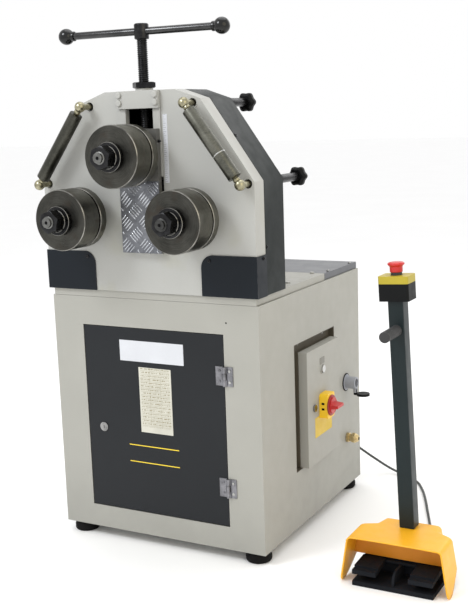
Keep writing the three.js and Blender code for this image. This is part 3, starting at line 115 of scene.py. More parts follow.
class Shade:
    """A material whose nodes are added one by one."""

    def __init__(self, name, specular=0.5, metallic=0.0):
        self.material = bpy.data.materials.new(name)
        self.material.use_nodes = True
        self.tree = self.material.node_tree
        self.shader = self.tree.nodes["Principled BSDF"]
        self.shader.inputs["Specular IOR Level"].default_value = specular
        self.shader.inputs["Metallic"].default_value = metallic
        self.place = self.tree.nodes.new("ShaderNodeTexCoord").outputs["Object"]

    def add(self, kind, inputs, **settings):
        """A node, with each of its inputs linked to an output or set to a value."""
        node = self.tree.nodes.new(kind)
        for key, value in settings.items():
            setattr(node, key, value)
        for socket, value in inputs.items():
            if isinstance(value, bpy.types.NodeSocket):
                self.tree.links.new(value, node.inputs[socket])
            else:
                node.inputs[socket].default_value = value
        return node

    def noise(self, scale, detail, vector=None):
        inputs = {"Vector": vector or self.place, "Scale": scale, "Detail": detail}
        return self.add("ShaderNodeTexNoise", inputs).outputs[0]

    def figure(self, operation, first, second=0.0):
        return self.add("ShaderNodeMath", {0: first, 1: second}, operation=operation).outputs[0]

    def times(self, first, second):
        return self.figure("MULTIPLY", first, second)

    def cloud(self, broad, fine, share):
        """A broad noise with a share of a fine one, each given by its scale and detail."""
        return self.figure("ADD", self.noise(*broad), self.times(self.noise(*fine), share))

    def stretch(self, value, from_low, from_high, to_low, to_high):
        inputs = {0: value, 1: from_low, 2: from_high, 3: to_low, 4: to_high}
        return self.add("ShaderNodeMapRange", inputs).outputs[0]

    def ramp(self, value, low, high):
        """Colour of a value, between a low and a high stop of position and colour."""
        node = self.add("ShaderNodeValToRGB", {0: value})
        for element, (position, colour) in zip(node.color_ramp.elements, (low, high)):
            element.position = position
            element.color = colour
        return node.outputs[0]

    def mix(self, factor, first, second):
        return self.add("ShaderNodeMix", {0: factor, 6: first, 7: second}, data_type="RGBA").outputs[2]

    def coordinates(self):
        """X, Y and Z of the surface point."""
        return self.add("ShaderNodeSeparateXYZ", {0: self.place}).outputs

    def vector(self, operation, first, second):
        return self.add("ShaderNodeVectorMath", {0: first, 1: second}, operation=operation).outputs

    def polar(self, centre, axis):
        """Distance from an axis, place along it and angle round it, of the surface point, in metres."""
        offset = self.vector("SUBTRACT", self.place, at(centre))[0]
        along, across, upwards = (
            self.vector("DOT_PRODUCT", offset, direction)[1] for direction in across_axis(axis)
        )
        squares = self.figure("ADD", self.figure("POWER", across, 2.0), self.figure("POWER", upwards, 2.0))
        return self.figure("SQRT", squares), along, self.figure("ARCTAN2", upwards, across)

    def edge(self, reach):
        """How near the surface point is to a corner of its solid, from 0 to 1."""
        rounded = self.add("ShaderNodeBevel", {0: reach}, samples=6).outputs[0]
        straight = self.add("ShaderNodeNewGeometry", {}).outputs["Normal"]
        return self.stretch(self.vector("DOT_PRODUCT", rounded, straight)[1], 0.99, 0.86, 0.0, 1.0)

    def colour(self, output):
        self.tree.links.new(output, self.shader.inputs["Base Color"])

    def sheen(self, scale, detail, low, high):
        """Roughness that wanders between two values, in patches."""
        patches = self.stretch(self.noise(scale, detail), 0.3, 0.7, low, high)
        self.tree.links.new(patches, self.shader.inputs["Roughness"])

    def bump(self, height, strength, distance):
        inputs = {"Height": height, "Strength": strength, "Distance": distance}
        node = self.add("ShaderNodeBump", inputs)
        self.tree.links.new(node.outputs[0], self.shader.inputs["Normal"])


PAINT_SPECULAR = 0.45
EDGE_REACH = 0.0016  # of worn paint and painted highlight from a corner, in metres
GRIME_LOW, GRIME_HIGH = 0.04, 0.22  # heights in metres, between which grime fades


def coat_tone(shade, colour, spread):
    """Powder coat's colour, darker and lighter in clouds."""
    cloud = shade.cloud((5, 3), (420, 1), 0.35)
    return shade.ramp(cloud, (0.45, shift(colour, 1 - spread)), (0.9, shift(colour, 1 + spread)))


def paint(name, colour, spread, roughness, grain=0.05, grime=0.0, specular=PAINT_SPECULAR):
    """Powder coat: cloudy colour, lighter corners that are partly worn paint and partly painted highlight, a
    fine orange peel and some grime near the floor.
    """
    shade, colour = Shade(name, specular), srgb(*colour)
    tone = coat_tone(shade, colour, spread)
    if grime:
        low = shade.stretch(shade.coordinates()[2], GRIME_LOW, GRIME_HIGH, grime, 0.0)
        patchy = shade.times(low, shade.noise(14, 4))
        tone = shade.mix(patchy, tone, shift(colour, 0.45))
    # Corners lighter in patches: partly worn paint, partly painted highlight along the edges
    patches = shade.stretch(shade.noise(70, 4), 0.4, 0.65, 0.1, 0.7)
    rubbed_and_highlit = shade.times(shade.edge(EDGE_REACH), patches)
    shade.colour(shade.mix(rubbed_and_highlit, tone, shift(colour, 0.8, 0.12)))
    shade.sheen(30, 3, *roughness)
    shade.bump(shade.noise(900, 2), grain, 0.0004)
    return shade.material


def plastic(name, colour, spread, roughness, grain=0.1, scale=700, specular=0.5, metallic=0.0):
    """Moulded plastic with a fine texture and scuffs."""
    shade, colour = Shade(name, specular, metallic), srgb(*colour)
    cloud = shade.cloud((12, 3), (250, 2), 0.25)
    shade.colour(shade.ramp(cloud, (0.4, shift(colour, 1 - spread)), (0.85, shift(colour, 1 + spread))))
    shade.sheen(45, 4, *roughness)
    shade.bump(shade.noise(scale, 2), grain, 0.0003)
    return shade.material


def metal(name, dark, light, roughness, grain=0.08, scale=160):
    """Plain metal, mottled by handling and a little oil."""
    shade = Shade(name, metallic=1.0)
    mottle = shade.cloud((24, 4), (scale, 3), 0.4)
    shade.colour(shade.ramp(mottle, (0.45, srgb(*dark)), (0.95, srgb(*light))))
    shade.sheen(60, 3, *roughness)
    shade.bump(shade.noise(scale * 4, 2), grain, 0.0002)
    return shade.material


def turned(name, centre, axis, dark, light, stain, roughness, rings=1400, depth=0.16):
    """Metal off a lathe: fine rings round its axis, over broad patches and stains."""
    shade = Shade(name, metallic=1.0)
    radius, along, angle = shade.polar(centre, axis)
    inputs = {0: radius, 1: along, 2: shade.times(angle, 0.0025)}
    line = shade.add("ShaderNodeCombineXYZ", inputs).outputs[0]
    ring = shade.noise(rings, 2, line)
    patch = shade.noise(18, 4)
    mottle = shade.figure("ADD", shade.times(ring, 0.45), shade.times(patch, 0.55))
    tone = shade.ramp(mottle, (0.32, srgb(*dark)), (0.68, srgb(*light)))
    spot = shade.stretch(shade.noise(33, 5), 0.56, 0.7, 0.0, 0.55)
    shade.colour(shade.mix(spot, tone, srgb(*stain)))
    shade.sheen(40, 4, *roughness)
    shade.bump(ring, depth, 0.0002)
    return shade.material


PLATE_TONE = (171, 171, 167)
PLATE_SPREAD = 0.035
PLATE_ROUGHNESS = (0.38, 0.52)

# Painted sheet steel
cream = paint("cream_coat", (160, 159, 152), 0.035, (0.42, 0.58), grime=0.35)
plate_cream = paint("plate_coat", PLATE_TONE, PLATE_SPREAD, PLATE_ROUGHNESS)
dark_grey = paint("grey_coat", (20, 26, 25), 0.14, (0.3, 0.44), specular=0.15)
lid_grey = paint("lid_coat", (66, 68, 74), 0.06, (0.3, 0.36), grain=0.02, specular=0.9)
guard_grey = paint("guard_coat", (17, 23, 30), 0.12, (0.34, 0.48), specular=0.2)
door_coat = paint("door_coat", (32, 34, 37), 0.06, (0.38, 0.43), grain=0.03, grime=0.15, specular=0.2)
column_coat = paint("column_coat", (23, 34, 36), 0.1, (0.3, 0.42), specular=0.24)
box_coat = paint("box_coat", (86, 80, 68), 0.08, (0.45, 0.6), specular=0.3)

# Bare and blackened metal
black_steel = metal("black_steel", (30, 30, 31), (58, 58, 59), (0.2, 0.38))
bar_steel = metal("bar_steel", (56, 56, 57), (78, 78, 78), (0.2, 0.28), 0.01, 40)
gear_steel = metal("gear_steel", (80, 80, 78), (120, 119, 114), (0.35, 0.5))
bright_steel = metal("bright_steel", (150, 150, 148), (205, 205, 202), (0.22, 0.36))
# Lighter steel for the chamfers of the rolls, washers and collars: painted highlight
edge_highlight = metal("edge_highlight", (72, 71, 68), (160, 158, 152), (0.26, 0.42), scale=70)
lock_steel = metal("lock_steel", (80, 79, 78), (158, 157, 156), (0.16, 0.28), scale=90)
hinge_steel = metal("hinge_steel", (98, 98, 101), (158, 157, 162), (0.26, 0.4), scale=110)
# Steel of the shaft tips: darker on the right tip, lighter on the left and top ones
nose_dark = metal("nose_steel", (44, 44, 45), (92, 92, 90), (0.3, 0.45))
nose_mid = metal("nose_light_steel", (68, 68, 67), (134, 134, 131), (0.26, 0.42))
tread_aluminium = metal("tread_aluminium", (100, 102, 107), (142, 144, 149), (0.3, 0.46))
# Lighter aluminium for the raised bars of the checker plate: painted highlight
tread_highlight = metal("tread_highlight", (158, 161, 168), (210, 212, 216), (0.2, 0.34))
brass = metal("brass", (112, 106, 84), (182, 177, 150), (0.22, 0.38))
gold_brass = metal("gland_brass", (166, 142, 96), (222, 202, 154), (0.22, 0.36))

# Plastic, rubber, labels, and the greased steel of the top slide
slide_steel = plastic("slide_steel", (98, 97, 93), 0.12, (0.36, 0.52), 0.2, 300, metallic=0.25)
rubber = plastic("foot_rubber", (17, 16, 16), 0.25, (0.6, 0.8), 0.3, 300, specular=0.12)
black_plastic = plastic("black_plastic", (10, 11, 12), 0.25, (0.36, 0.52), specular=0.16)
ball_plastic = plastic("ball_plastic", (10, 11, 11), 0.2, (0.08, 0.16), 0.02, specular=0.4)
pedal_plastic = plastic("pedal_plastic", (28, 30, 34), 0.2, (0.6, 0.78), 0.25, 500, specular=0.06)
grip_plastic = plastic("grip_plastic", (46, 46, 47), 0.15, (0.5, 0.65), 0.2, 400)
socket_grey = plastic("socket_grey", (150, 153, 160), 0.08, (0.4, 0.55))
switch_yellow = plastic("switch_yellow", (246, 200, 40), 0.05, (0.3, 0.42))
lid_yellow = plastic("lid_yellow", (172, 155, 34), 0.06, (0.34, 0.46))
shield_orange = plastic("shield_orange", (240, 174, 30), 0.07, (0.3, 0.45), 0.12, 350)
# A darker copy of the shield's orange for the wall inside it: painted shade
shaded_wall_orange = plastic("shaded_wall_orange", (214, 136, 6), 0.07, (0.4, 0.55), 0.12, 350)
red_plastic = plastic("red_plastic", (190, 36, 34), 0.07, (0.25, 0.4))
dial_red = plastic("dial_red", (150, 27, 24), 0.07, (0.25, 0.4))
cable_rubber = plastic("cable_rubber", (62, 65, 64), 0.14, (0.46, 0.64), 0.2, 500)
label_white = plastic("label_white", (204, 206, 211), 0.04, (0.35, 0.5), 0.04)
label_yellow = plastic("label_yellow", (240, 208, 48), 0.05, (0.35, 0.5), 0.04)
label_grey = plastic("label_grey", (124, 122, 114), 0.08, (0.4, 0.55), 0.04)
label_ochre = plastic("label_ochre", (208, 176, 40), 0.07, (0.35, 0.5), 0.04)
tick_ink = plastic("tick_ink", (96, 98, 104), 0.1, (0.45, 0.6), 0.04)
# Near-black: painted shade in the roll grooves, the shaft tips' centre holes, the key slots and the small
# hole; also the black of the switch marks and the gland's plug
black_and_painted_shade = plastic("black_and_painted_shade", (6, 6, 7), 0.2, (0.6, 0.8), 0.05, specular=0.1)

SLOT_HALF = 0.0602  # half the width of the front plate's slot, in metres
SLOT_FLOOR = DECK + 208.5
OIL_FROM, OIL_DOWN_TO = DECK + 330, DECK + 60  # heights, between which oil stains set in


def slotted_paint():
    """The front plate's coat, with painted shade inside its slot, coloured nearly black."""
    shade = Shade("slotted_plate_coat", PAINT_SPECULAR)
    tone = coat_tone(shade, srgb(*PLATE_TONE), PLATE_SPREAD)
    x, _, z = shade.coordinates()
    aside = shade.figure("ABSOLUTE", shade.figure("SUBTRACT", x, CABINET.x / 1000))
    above = shade.figure("GREATER_THAN", z, SLOT_FLOOR / 1000)
    # Painted shade: the inside of the slot is coloured nearly black
    slot_shade = shade.times(shade.figure("LESS_THAN", aside, SLOT_HALF), above)
    oil = shade.stretch(shade.noise(9, 4), 0.52, 0.66, 0.0, 0.22)
    below = shade.stretch(z, OIL_FROM / 1000, OIL_DOWN_TO / 1000, 0.0, 1.0)
    tone = shade.mix(shade.times(oil, below), tone, srgb(156, 152, 112))
    shade.colour(shade.mix(slot_shade, tone, srgb(14, 15, 16)))
    shade.sheen(30, 3, *PLATE_ROUGHNESS)
    shade.bump(shade.noise(900, 2), 0.12, 0.0004)
    return shade.material


def ruled_table():
    """A pale table: nineteen ruled rows, three column lines and worn, unreadable marks."""
    shade = Shade("ruled_table", specular=0.4)
    x, _, z = shade.coordinates()
    width, height = (TABLE_RIGHT - TABLE_LEFT) / 1000, (TABLE_TOP - TABLE_BOTTOM) / 1000
    across = shade.figure("DIVIDE", shade.figure("SUBTRACT", x, at((TABLE_LEFT, 0, 0)).x), width)
    up = shade.figure("DIVIDE", shade.figure("SUBTRACT", z, TABLE_BOTTOM / 1000), height)
    row = shade.figure("FRACT", shade.times(up, 19.0))
    rule = shade.figure("LESS_THAN", row, 0.14)
    cell = shade.figure("FRACT", shade.times(across, 3.0))
    column = shade.figure("LESS_THAN", cell, 0.03)
    strokes = shade.add("ShaderNodeCombineXYZ", {0: shade.times(x, 3.0), 1: 0.0, 2: z}).outputs[0]
    mark = shade.figure("GREATER_THAN", shade.noise(170, 1, strokes), 0.5)
    inside = shade.times(shade.figure("GREATER_THAN", row, 0.42), shade.figure("LESS_THAN", row, 0.8))
    aside = shade.figure("ABSOLUTE", shade.figure("SUBTRACT", across, 0.5))
    margin = shade.times(shade.figure("GREATER_THAN", up, 0.09), shade.figure("LESS_THAN", aside, 0.45))
    ink = shade.times(shade.times(mark, inside), 0.85)
    lines = shade.times(shade.figure("MAXIMUM", rule, column), 0.5)
    drawn = shade.times(shade.figure("MAXIMUM", lines, ink), margin)
    base = shade.ramp(shade.noise(20, 3), (0.3, srgb(192, 190, 178)), (0.8, srgb(208, 206, 194)))
    shade.colour(shade.mix(drawn, base, srgb(128, 118, 84)))
    shade.sheen(60, 2, 0.4, 0.55)
    shade.bump(shade.noise(400, 2), 0.05, 0.0002)
    return shade.material


# Shapes, each as a list of vertices in millimetres, a list of faces and a material index for each face

def joined(*shapes):
    """Several shapes as one."""
    verts, faces, finishes = [], [], []
    for more_verts, more_faces, more_finishes in shapes:
        faces += [[index + len(verts) for index in face] for face in more_faces]
        verts += more_verts
        finishes += more_finishes
    return verts, faces, finishes


def finished(shape, finish):
    """The same shape in another of its piece's materials."""
    verts, faces, _ = shape
    return verts, faces, [finish] * len(faces)


def round_corners(points, radius):
    """An open line of (radius, along) points with its inner corners rounded, each in three steps."""
    line = [Vector(point) for point in points]
    out = [line[0]]
    for before, corner, after in zip(line, line[1:], line[2:]):
        back, on = before - corner, after - corner
        reach = min(radius, back.length * 0.45, on.length * 0.45)
        start, end = corner + back.normalized() * reach, corner + on.normalized() * reach
        for step in range(4):
            t = step / 3
            out.append(start * (1 - t) ** 2 + corner * (2 * t * (1 - t)) + end * t ** 2)
    return out + [line[-1]]


def loft(rings, capped=True):
    """A skin over rings of points, each ring with as many points as the next."""
    count = len(rings[0])
    verts = [Vector(point) for ring in rings for point in ring]
    faces = []
    for level in range(len(rings) - 1):
        low, high = level * count, (level + 1) * count
        for i in range(count):
            j = (i + 1) % count
            faces.append([low + i, low + j, high + j, high + i])
    if capped:
        faces.append(list(range(count))[::-1])
        faces.append(list(range((len(rings) - 1) * count, len(rings) * count)))
    return verts, faces, [0] * len(faces)


def round_point(origin, axes, reach, along, angle):
    """A point at a distance from an axis, a place along it and an angle round it."""
    axis, side, other = axes
    return origin + axis * along + side * reach * cos(angle) + other * reach * sin(angle)


def lathe(profile, origin, axis, sides, rounding=0.0, finishes=None, outline=None, hollow=False):
    """A solid turned about an axis from (radius, along) points, with its corners rounded by a radius.

    Finishes name a material for each strip of the profile, and outline gives the share of the radius
    at an angle. A hollow one joins its last point to its first, and the others end in two discs.
    """
    axes = across_axis(axis)
    origin = Vector(origin)
    profile = round_corners(profile, rounding) if rounding else profile
    loop = list(profile) + list(profile[:1])
    area = sum(here[0] * after[1] - after[0] * here[1] for here, after in zip(loop, loop[1:]))
    line = loop if hollow else list(profile)
    if area < 0:
        line.reverse()
        finishes = finishes and finishes[::-1]
    rings = []
    for radius, along in line:
        ring = []
        for i in range(sides):
            angle = 2 * pi * i / sides
            reach = max(radius, 0.01) * (outline(angle) if outline else 1)
            ring.append(round_point(origin, axes, reach, along, angle))
        rings.append(ring)
    verts, faces, indices = loft(rings, capped=not hollow)
    if finishes:
        strips = [finishes[face // sides] for face in range(sides * (len(line) - 1))]
        indices = strips + [0] * (len(faces) - len(strips))
    return verts, faces, indices


def rod(diameter, start, end, sides, edge=0.6):
    """A round rod between two points, its edges rounded."""
    start, end = Vector(start), Vector(end)
    length = (end - start).length
    radius = diameter / 2
    return lathe([(0, 0), (radius, 0), (radius, length), (0, length)], start, end - start, sides, edge)


def sphere(diameter, centre, axis, sides):
    """A ball with its poles on an axis."""
    steps = sides // 2
    profile = [
        (diameter / 2 * sin(pi * i / steps), -diameter / 2 * cos(pi * i / steps))
        for i in range(steps + 1)
    ]
    return lathe(profile, centre, axis, sides)


def hexagonal(width, origin, axis, height, bore, turn, sides=72):
    """A hexagonal nut with chamfered corners and a hole; its width is across the flats."""
    axes = across_axis(axis)
    origin, flat, face = Vector(origin), width / 2, width / 2 * 0.97
    rings = [[] for _ in range(6)]
    for i in range(sides):
        angle = 2 * pi * i / sides
        corner = flat / cos((angle + pi / 6) % (pi / 3) - pi / 6)
        drop = (corner - face) * 0.45
        line = (
            (bore / 2, 0), (face, 0), (corner, drop),
            (corner, height - drop), (face, height), (bore / 2, height),
        )
        for ring, (reach, along) in zip(rings, line):
            ring.append(round_point(origin, axes, reach, along, angle + turn))
    return loft(rings + [rings[0]], capped=False)


def slab(low, high, edge=0.5):
    """A box with chamfered edges."""
    low, high = Vector(low), Vector(high)
    middle, half = (low + high) / 2, (high - low) / 2
    edge = min(edge, min(half) * 0.8)
    rings = []
    for inset, height in ((edge, -half.z), (0, -half.z + edge), (0, half.z - edge), (edge, half.z)):
        x, y = half.x - inset, half.y - inset
        cut = edge if inset == 0 else edge * 0.5
        ring = [
            (x - cut, -y), (x, -y + cut), (x, y - cut), (x - cut, y),
            (-x + cut, y), (-x, y - cut), (-x, -y + cut), (-x + cut, -y),
        ]
        rings.append([middle + Vector((u, v, height)) for u, v in ring])
    return loft(rings)


def screw_head(place, axis, diameter, height, socket=True):
    """A cap or pan head, with a recess if it has a socket."""
    radius = diameter / 2
    profile = round_corners([(0, 0), (radius, 0), (radius, height), (radius * 0.5, height)], height * 0.3)
    if socket:
        profile += [(radius * 0.5, height * 0.45), (0, height * 0.4)]
    else:
        profile += [(0, height * 1.02)]
    return lathe(profile, place, axis, 24)


def put(name, shape, body, materials, replaced=(), smooth=32):
    """Makes a piece of a shape, on a CAD body and one or more materials.

    Faces that meet at less than the smooth angle, in degrees, are shaded as one.
    """
    verts, faces, finishes = shape
    mesh = bpy.data.meshes.new(name)
    mesh.from_pydata([at(vert) for vert in verts], [], faces)
    for material in materials if isinstance(materials, list) else [materials]:
        mesh.materials.append(material)
    mesh.polygons.foreach_set("material_index", finishes)
    mesh.polygons.foreach_set("use_smooth", [True] * len(faces))
    mesh.set_sharp_from_angle(angle=radians(smooth))
    mesh.validate()
    piece = new_object(name, mesh)
    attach(piece, body)
    if replaced:
        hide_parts(*replaced)
    return piece


# Control cable, along the frame's own route

CABLE_DIAMETER = 0.007
CABLE_ROUTE = [
    (225, 350.3, 113), (225.2, 361, 112.8), (228.4, 374, 111.6), (236, 386, 108.6), (248, 395, 103.2),
    (264, 401, 94), (287, 408, 77), (318, 422, 52), (355, 446, 20), (411, 434, 5), (461, 397, 4.2),
    (494, 344, 4.2), (524.5, 278, 4.2), (567, 170, 4.2), (613, 53, 4.2), (648, -36, 4.6), (669, -100, 12),
    (677, -136, 20.5), (677, -156.7, 22),
]


def smooth_route(points, steps):
    """A centripetal curve through points."""
    points = [Vector(point) for point in points]
    padded = [2 * points[0] - points[1]] + points + [2 * points[-1] - points[-2]]
    out = []
    for p0, p1, p2, p3 in zip(padded, padded[1:], padded[2:], padded[3:]):
        d0, d1, d2 = ((b - a).length ** 0.5 for a, b in ((p0, p1), (p1, p2), (p2, p3)))
        leave = ((p1 - p0) / d0 - (p2 - p0) / (d0 + d1) + (p2 - p1) / d1) * d1
        arrive = ((p2 - p1) / d1 - (p3 - p1) / (d1 + d2) + (p3 - p2) / d2) * d1
        for step in range(steps):
            t = step / steps
            out.append(
                p1 * (2 * t ** 3 - 3 * t ** 2 + 1) + leave * (t ** 3 - 2 * t ** 2 + t)
                + p2 * (3 * t ** 2 - 2 * t ** 3) + arrive * (t ** 3 - t ** 2)
            )
    return out + [points[-1]]


def add_cable():
    line = [at(point) for point in smooth_route(CABLE_ROUTE, 12)]
    data = bpy.data.curves.new("control_cable_line", "CURVE")
    data.dimensions = "3D"
    data.bevel_depth = CABLE_DIAMETER / 2
    data.bevel_resolution = 4
    data.use_fill_caps = True
    data.materials.append(cable_rubber)
    spline = data.splines.new("POLY")
    spline.points.add(len(line) - 1)
    for point, place in zip(spline.points, line):
        point.co = (*place, 1)
    spline.use_smooth = True
    cable = new_object("cable", data)
    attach(cable, "cabinet")
    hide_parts("control_cable")


add_cable()


# CAD nodes that stay, with softened edges and their own finishes

BEVEL_ANGLE = radians(38)  # edges sharper than this are rounded
SHARP_ANGLE = radians(34)  # edges sharper than this keep a hard line in the shading


def smoothing():
    """Node group that shades smoothly except across sharp edges."""
    group = bpy.data.node_groups.new("smooth_by_angle", "GeometryNodeTree")
    for direction in ("INPUT", "OUTPUT"):
        group.interface.new_socket("Geometry", in_out=direction, socket_type="NodeSocketGeometry")
    start, end, faces, edges, angle, sharp = (
        group.nodes.new(kind) for kind in (
            "NodeGroupInput", "NodeGroupOutput", "GeometryNodeSetShadeSmooth", "GeometryNodeSetShadeSmooth",
            "GeometryNodeInputMeshEdgeAngle", "FunctionNodeCompare",
        )
    )
    edges.domain = "EDGE"
    edges.inputs["Shade Smooth"].default_value = False
    sharp.operation = "GREATER_THAN"
    sharp.inputs[1].default_value = SHARP_ANGLE
    for source, target, socket in (
        (start, faces, "Geometry"), (faces, edges, "Geometry"), (angle, sharp, 0),
        (sharp, edges, "Selection"), (edges, end, 0),
    ):
        group.links.new(source.outputs[0], target.inputs[socket])
    return group


smooth_group = smoothing()


def dress(material, width, *names):
    """Gives CAD nodes a finish, edges rounded by a width in millimetres and smooth shading between them."""
    for node in (nodes[name] for name in names):
        node.data.materials.clear()
        node.data.materials.append(material)
        node.modifiers.new("weld", "WELD").merge_threshold = 0.00001
        bevel = node.modifiers.new("edges", "BEVEL")
        bevel.width = width / 1000
        bevel.segments = 2
        bevel.angle_limit = BEVEL_ANGLE
        node.modifiers.new("smooth", "NODES").node_group = smooth_group
        node.modifiers.new("normals", "WEIGHTED_NORMAL").keep_sharp = True


dress(cream, 1.2, "cabinet_shell", "top_plate")
dress(cream, 1.5, "panel_door")
dress(slotted_paint(), 1.2, "front_plate")
dress(plate_cream, 1.2, "screw_block")
dress(plate_cream, 0.5, "left_slide_rail", "right_slide_rail")
dress(dark_grey, 1.5, "gear_cover")
dress(lid_grey, 1.5, "rear_lid")
dress(dark_grey, 1, "gearmotor")
dress(guard_grey, 0.8, "left_corner_guard", "right_corner_guard")
dress(door_coat, 1, "cabinet_door")
dress(box_coat, 0.8, "control_box")
dress(column_coat, 2.5, "column")
dress(slide_steel, 1, "top_slide")
dress(tread_aluminium, 0.3, "checker_plate")
dress(black_steel, 0.6, "left_shaft", "right_shaft", "top_shaft")
dress(gear_steel, 0.3, "drive_pinion")
dress(hinge_steel, 0.4, "lower_door_hinge", "upper_door_hinge")
dress(bright_steel, 0.4, "start_button")
dress(lock_steel, 0.4, "door_lock", "panel_lock")
dress(rubber, 2.5, "foot_front_left", "foot_front_right", "foot_rear_left", "foot_rear_right")
dress(black_plastic, 0.6, "cable_gland", "socket_cap")
dress(pedal_plastic, 1.5, "pedal_base", "left_pedal", "right_pedal")
dress(black_plastic, 1.5, "stop_box")
dress(lid_yellow, 2, "stop_lid")
dress(switch_yellow, 2.5, "main_switch_body")
dress(red_plastic, 1, "main_switch_knob")
dress(socket_grey, 0.8, "socket_body")


# Rolls, clamp nuts and shaft tips

ROLL_FRONT, ROLL_REAR = FRONT - 134.6, FRONT - 42.6
DISC, BORE, GROOVE = 75, 20.4, 61  # radii
GROOVE_FRONT, GROOVE_REAR = ROLL_FRONT + 61, ROLL_FRONT + 68
WASHER_FRONT = ROLL_FRONT - 12.3
NUT_FRONT = WASHER_FRONT - 34
TIP_FRONT = NUT_FRONT - 8.2  # 0.2 mm further out than the CAD shaft

# Materials of a roll, by their places in its list
SHADED_FACE, EDGE_HIGHLIGHT, BLACK, GROOVE_SHADE, LIT_RIM = range(5)

# A roll is two discs with a groove between them; each strip of its profile has a material
ROLL_PROFILE = [
    (BORE, ROLL_FRONT), (DISC - 1.8, ROLL_FRONT), (DISC, ROLL_FRONT + 1.8),
    (DISC, GROOVE_FRONT - 1), (DISC - 1, GROOVE_FRONT), (GROOVE, GROOVE_FRONT), (GROOVE, GROOVE_REAR),
    (DISC - 1.6, GROOVE_REAR), (DISC, GROOVE_REAR + 1.6),
    (DISC, ROLL_REAR - 1.8), (DISC - 1.8, ROLL_REAR), (BORE, ROLL_REAR),
]
# Painted shade in the groove: near-black on its front wall and floor, black steel on its rear wall
ROLL_STRIPS = [SHADED_FACE, EDGE_HIGHLIGHT, LIT_RIM, SHADED_FACE, GROOVE_SHADE, GROOVE_SHADE, BLACK, EDGE_HIGHLIGHT, LIT_RIM, SHADED_FACE, SHADED_FACE, BLACK]


def add_roll_set(name, x, z, tip_steel):
    body, centre = f"{name}_roll_set", (x, 0, z)
    # The faces in darker steel and the rims in lighter steel: painted shade on the faces, painted light on
    # the rims
    shaded_face_steel = turned(
        f"{name}_shaded_roll_face_steel", (x, FRONT, z), INWARD, (49, 49, 46), (86, 85, 80), (66, 60, 54), (0.26, 0.44)
    )
    lit_rim_steel = turned(
        f"{name}_lit_rim_steel", centre, INWARD, (70, 69, 63), (122, 120, 110), (80, 72, 60), (0.3, 0.46)
    )
    coats = [shaded_face_steel, edge_highlight, black_steel, black_and_painted_shade, lit_rim_steel]
    roll = lathe(ROLL_PROFILE, centre, INWARD, 128, finishes=ROLL_STRIPS, hollow=True)
    put(f"{name}_roll_turned", roll, body, coats, [f"{name}_roll"])
    rings = (
        ([(16, ROLL_FRONT - 0.3), (36, ROLL_FRONT - 0.3), (36, WASHER_FRONT), (16, WASHER_FRONT)], 2.5),
        ([(15.8, WASHER_FRONT), (29, WASHER_FRONT), (27, WASHER_FRONT - 5), (15.8, WASHER_FRONT - 5)], 1.5),
    )
    washer, collar = (lathe(line, centre, INWARD, 72, rounding, hollow=True) for line, rounding in rings)
    nut = hexagonal(50, (x, NUT_FRONT, z), INWARD, 30, 30.6, radians(12))
    shape = joined(washer, collar, nut)
    # Thin lighter rings at the washer's and collar's front edges: painted highlight
    for radius, along in ((34.9, WASHER_FRONT + 0.2), (26.6, WASHER_FRONT - 4.9)):
        wedge = [(radius, along), (radius + 0.9, along + 0.9), (radius, along + 0.9)]
        shape = joined(shape, finished(lathe(wedge, centre, INWARD, 72, hollow=True), 1))
    put(f"{name}_clamp_nut", shape, body, [black_steel, edge_highlight], [f"{name}_roll_nut"])
    profile = [
        (0, NUT_FRONT + 4), (15.1, NUT_FRONT + 4), (15.1, NUT_FRONT - 1), (12.3, NUT_FRONT - 1.5),
        (12.3, TIP_FRONT), (4.4, TIP_FRONT), (3.9, NUT_FRONT - 6), (0, NUT_FRONT - 3),
    ]
    tip = lathe(profile, centre, INWARD, 48, 0.5)
    # A near-black cone deep in the tip's centre hole: painted shade
    hole = lathe([(0, NUT_FRONT - 6.2), (4.1, NUT_FRONT - 7.4), (0, NUT_FRONT - 7.4)], centre, INWARD, 32)
    put(f"{name}_shaft_tip", joined(tip, finished(hole, 1)), body, [tip_steel, black_and_painted_shade])


add_roll_set("left", -ROLL_OFFSET, LOWER_ROLL, nose_mid)
add_roll_set("right", ROLL_OFFSET, LOWER_ROLL, nose_dark)
add_roll_set("top", 0, TOP_ROLL, nose_mid)


# Press screw, T-bar and lock nut

SCREW_PITCH = 5
HUB = SCREW + Vector((0, 0, 1325.3))
BAR_TURN = radians(3.7)
BAR = Vector((cos(BAR_TURN), sin(BAR_TURN), 0))
BAR_HALF = 200


def thread(radius, depth, pitch, bottom, top, origin, sides=36, steps=8):
    """A threaded rod that stands along Z, right-handed, with a number of rings to a pitch."""
    count = int((top - bottom) / pitch * steps)
    rings = []
    for level in range(count + 1):
        height = bottom + (top - bottom) * level / count
        ring = []
        for i in range(sides):
            angle = 2 * pi * i / sides
            phase = (height / pitch - i / sides) % 1
            wave = min(1, max(0, 4 * abs(phase - 0.5) - 0.5))
            reach = radius - depth * wave
            ring.append(origin + Vector((reach * cos(angle), reach * sin(angle), height)))
        rings.append(ring)
    return loft(rings)


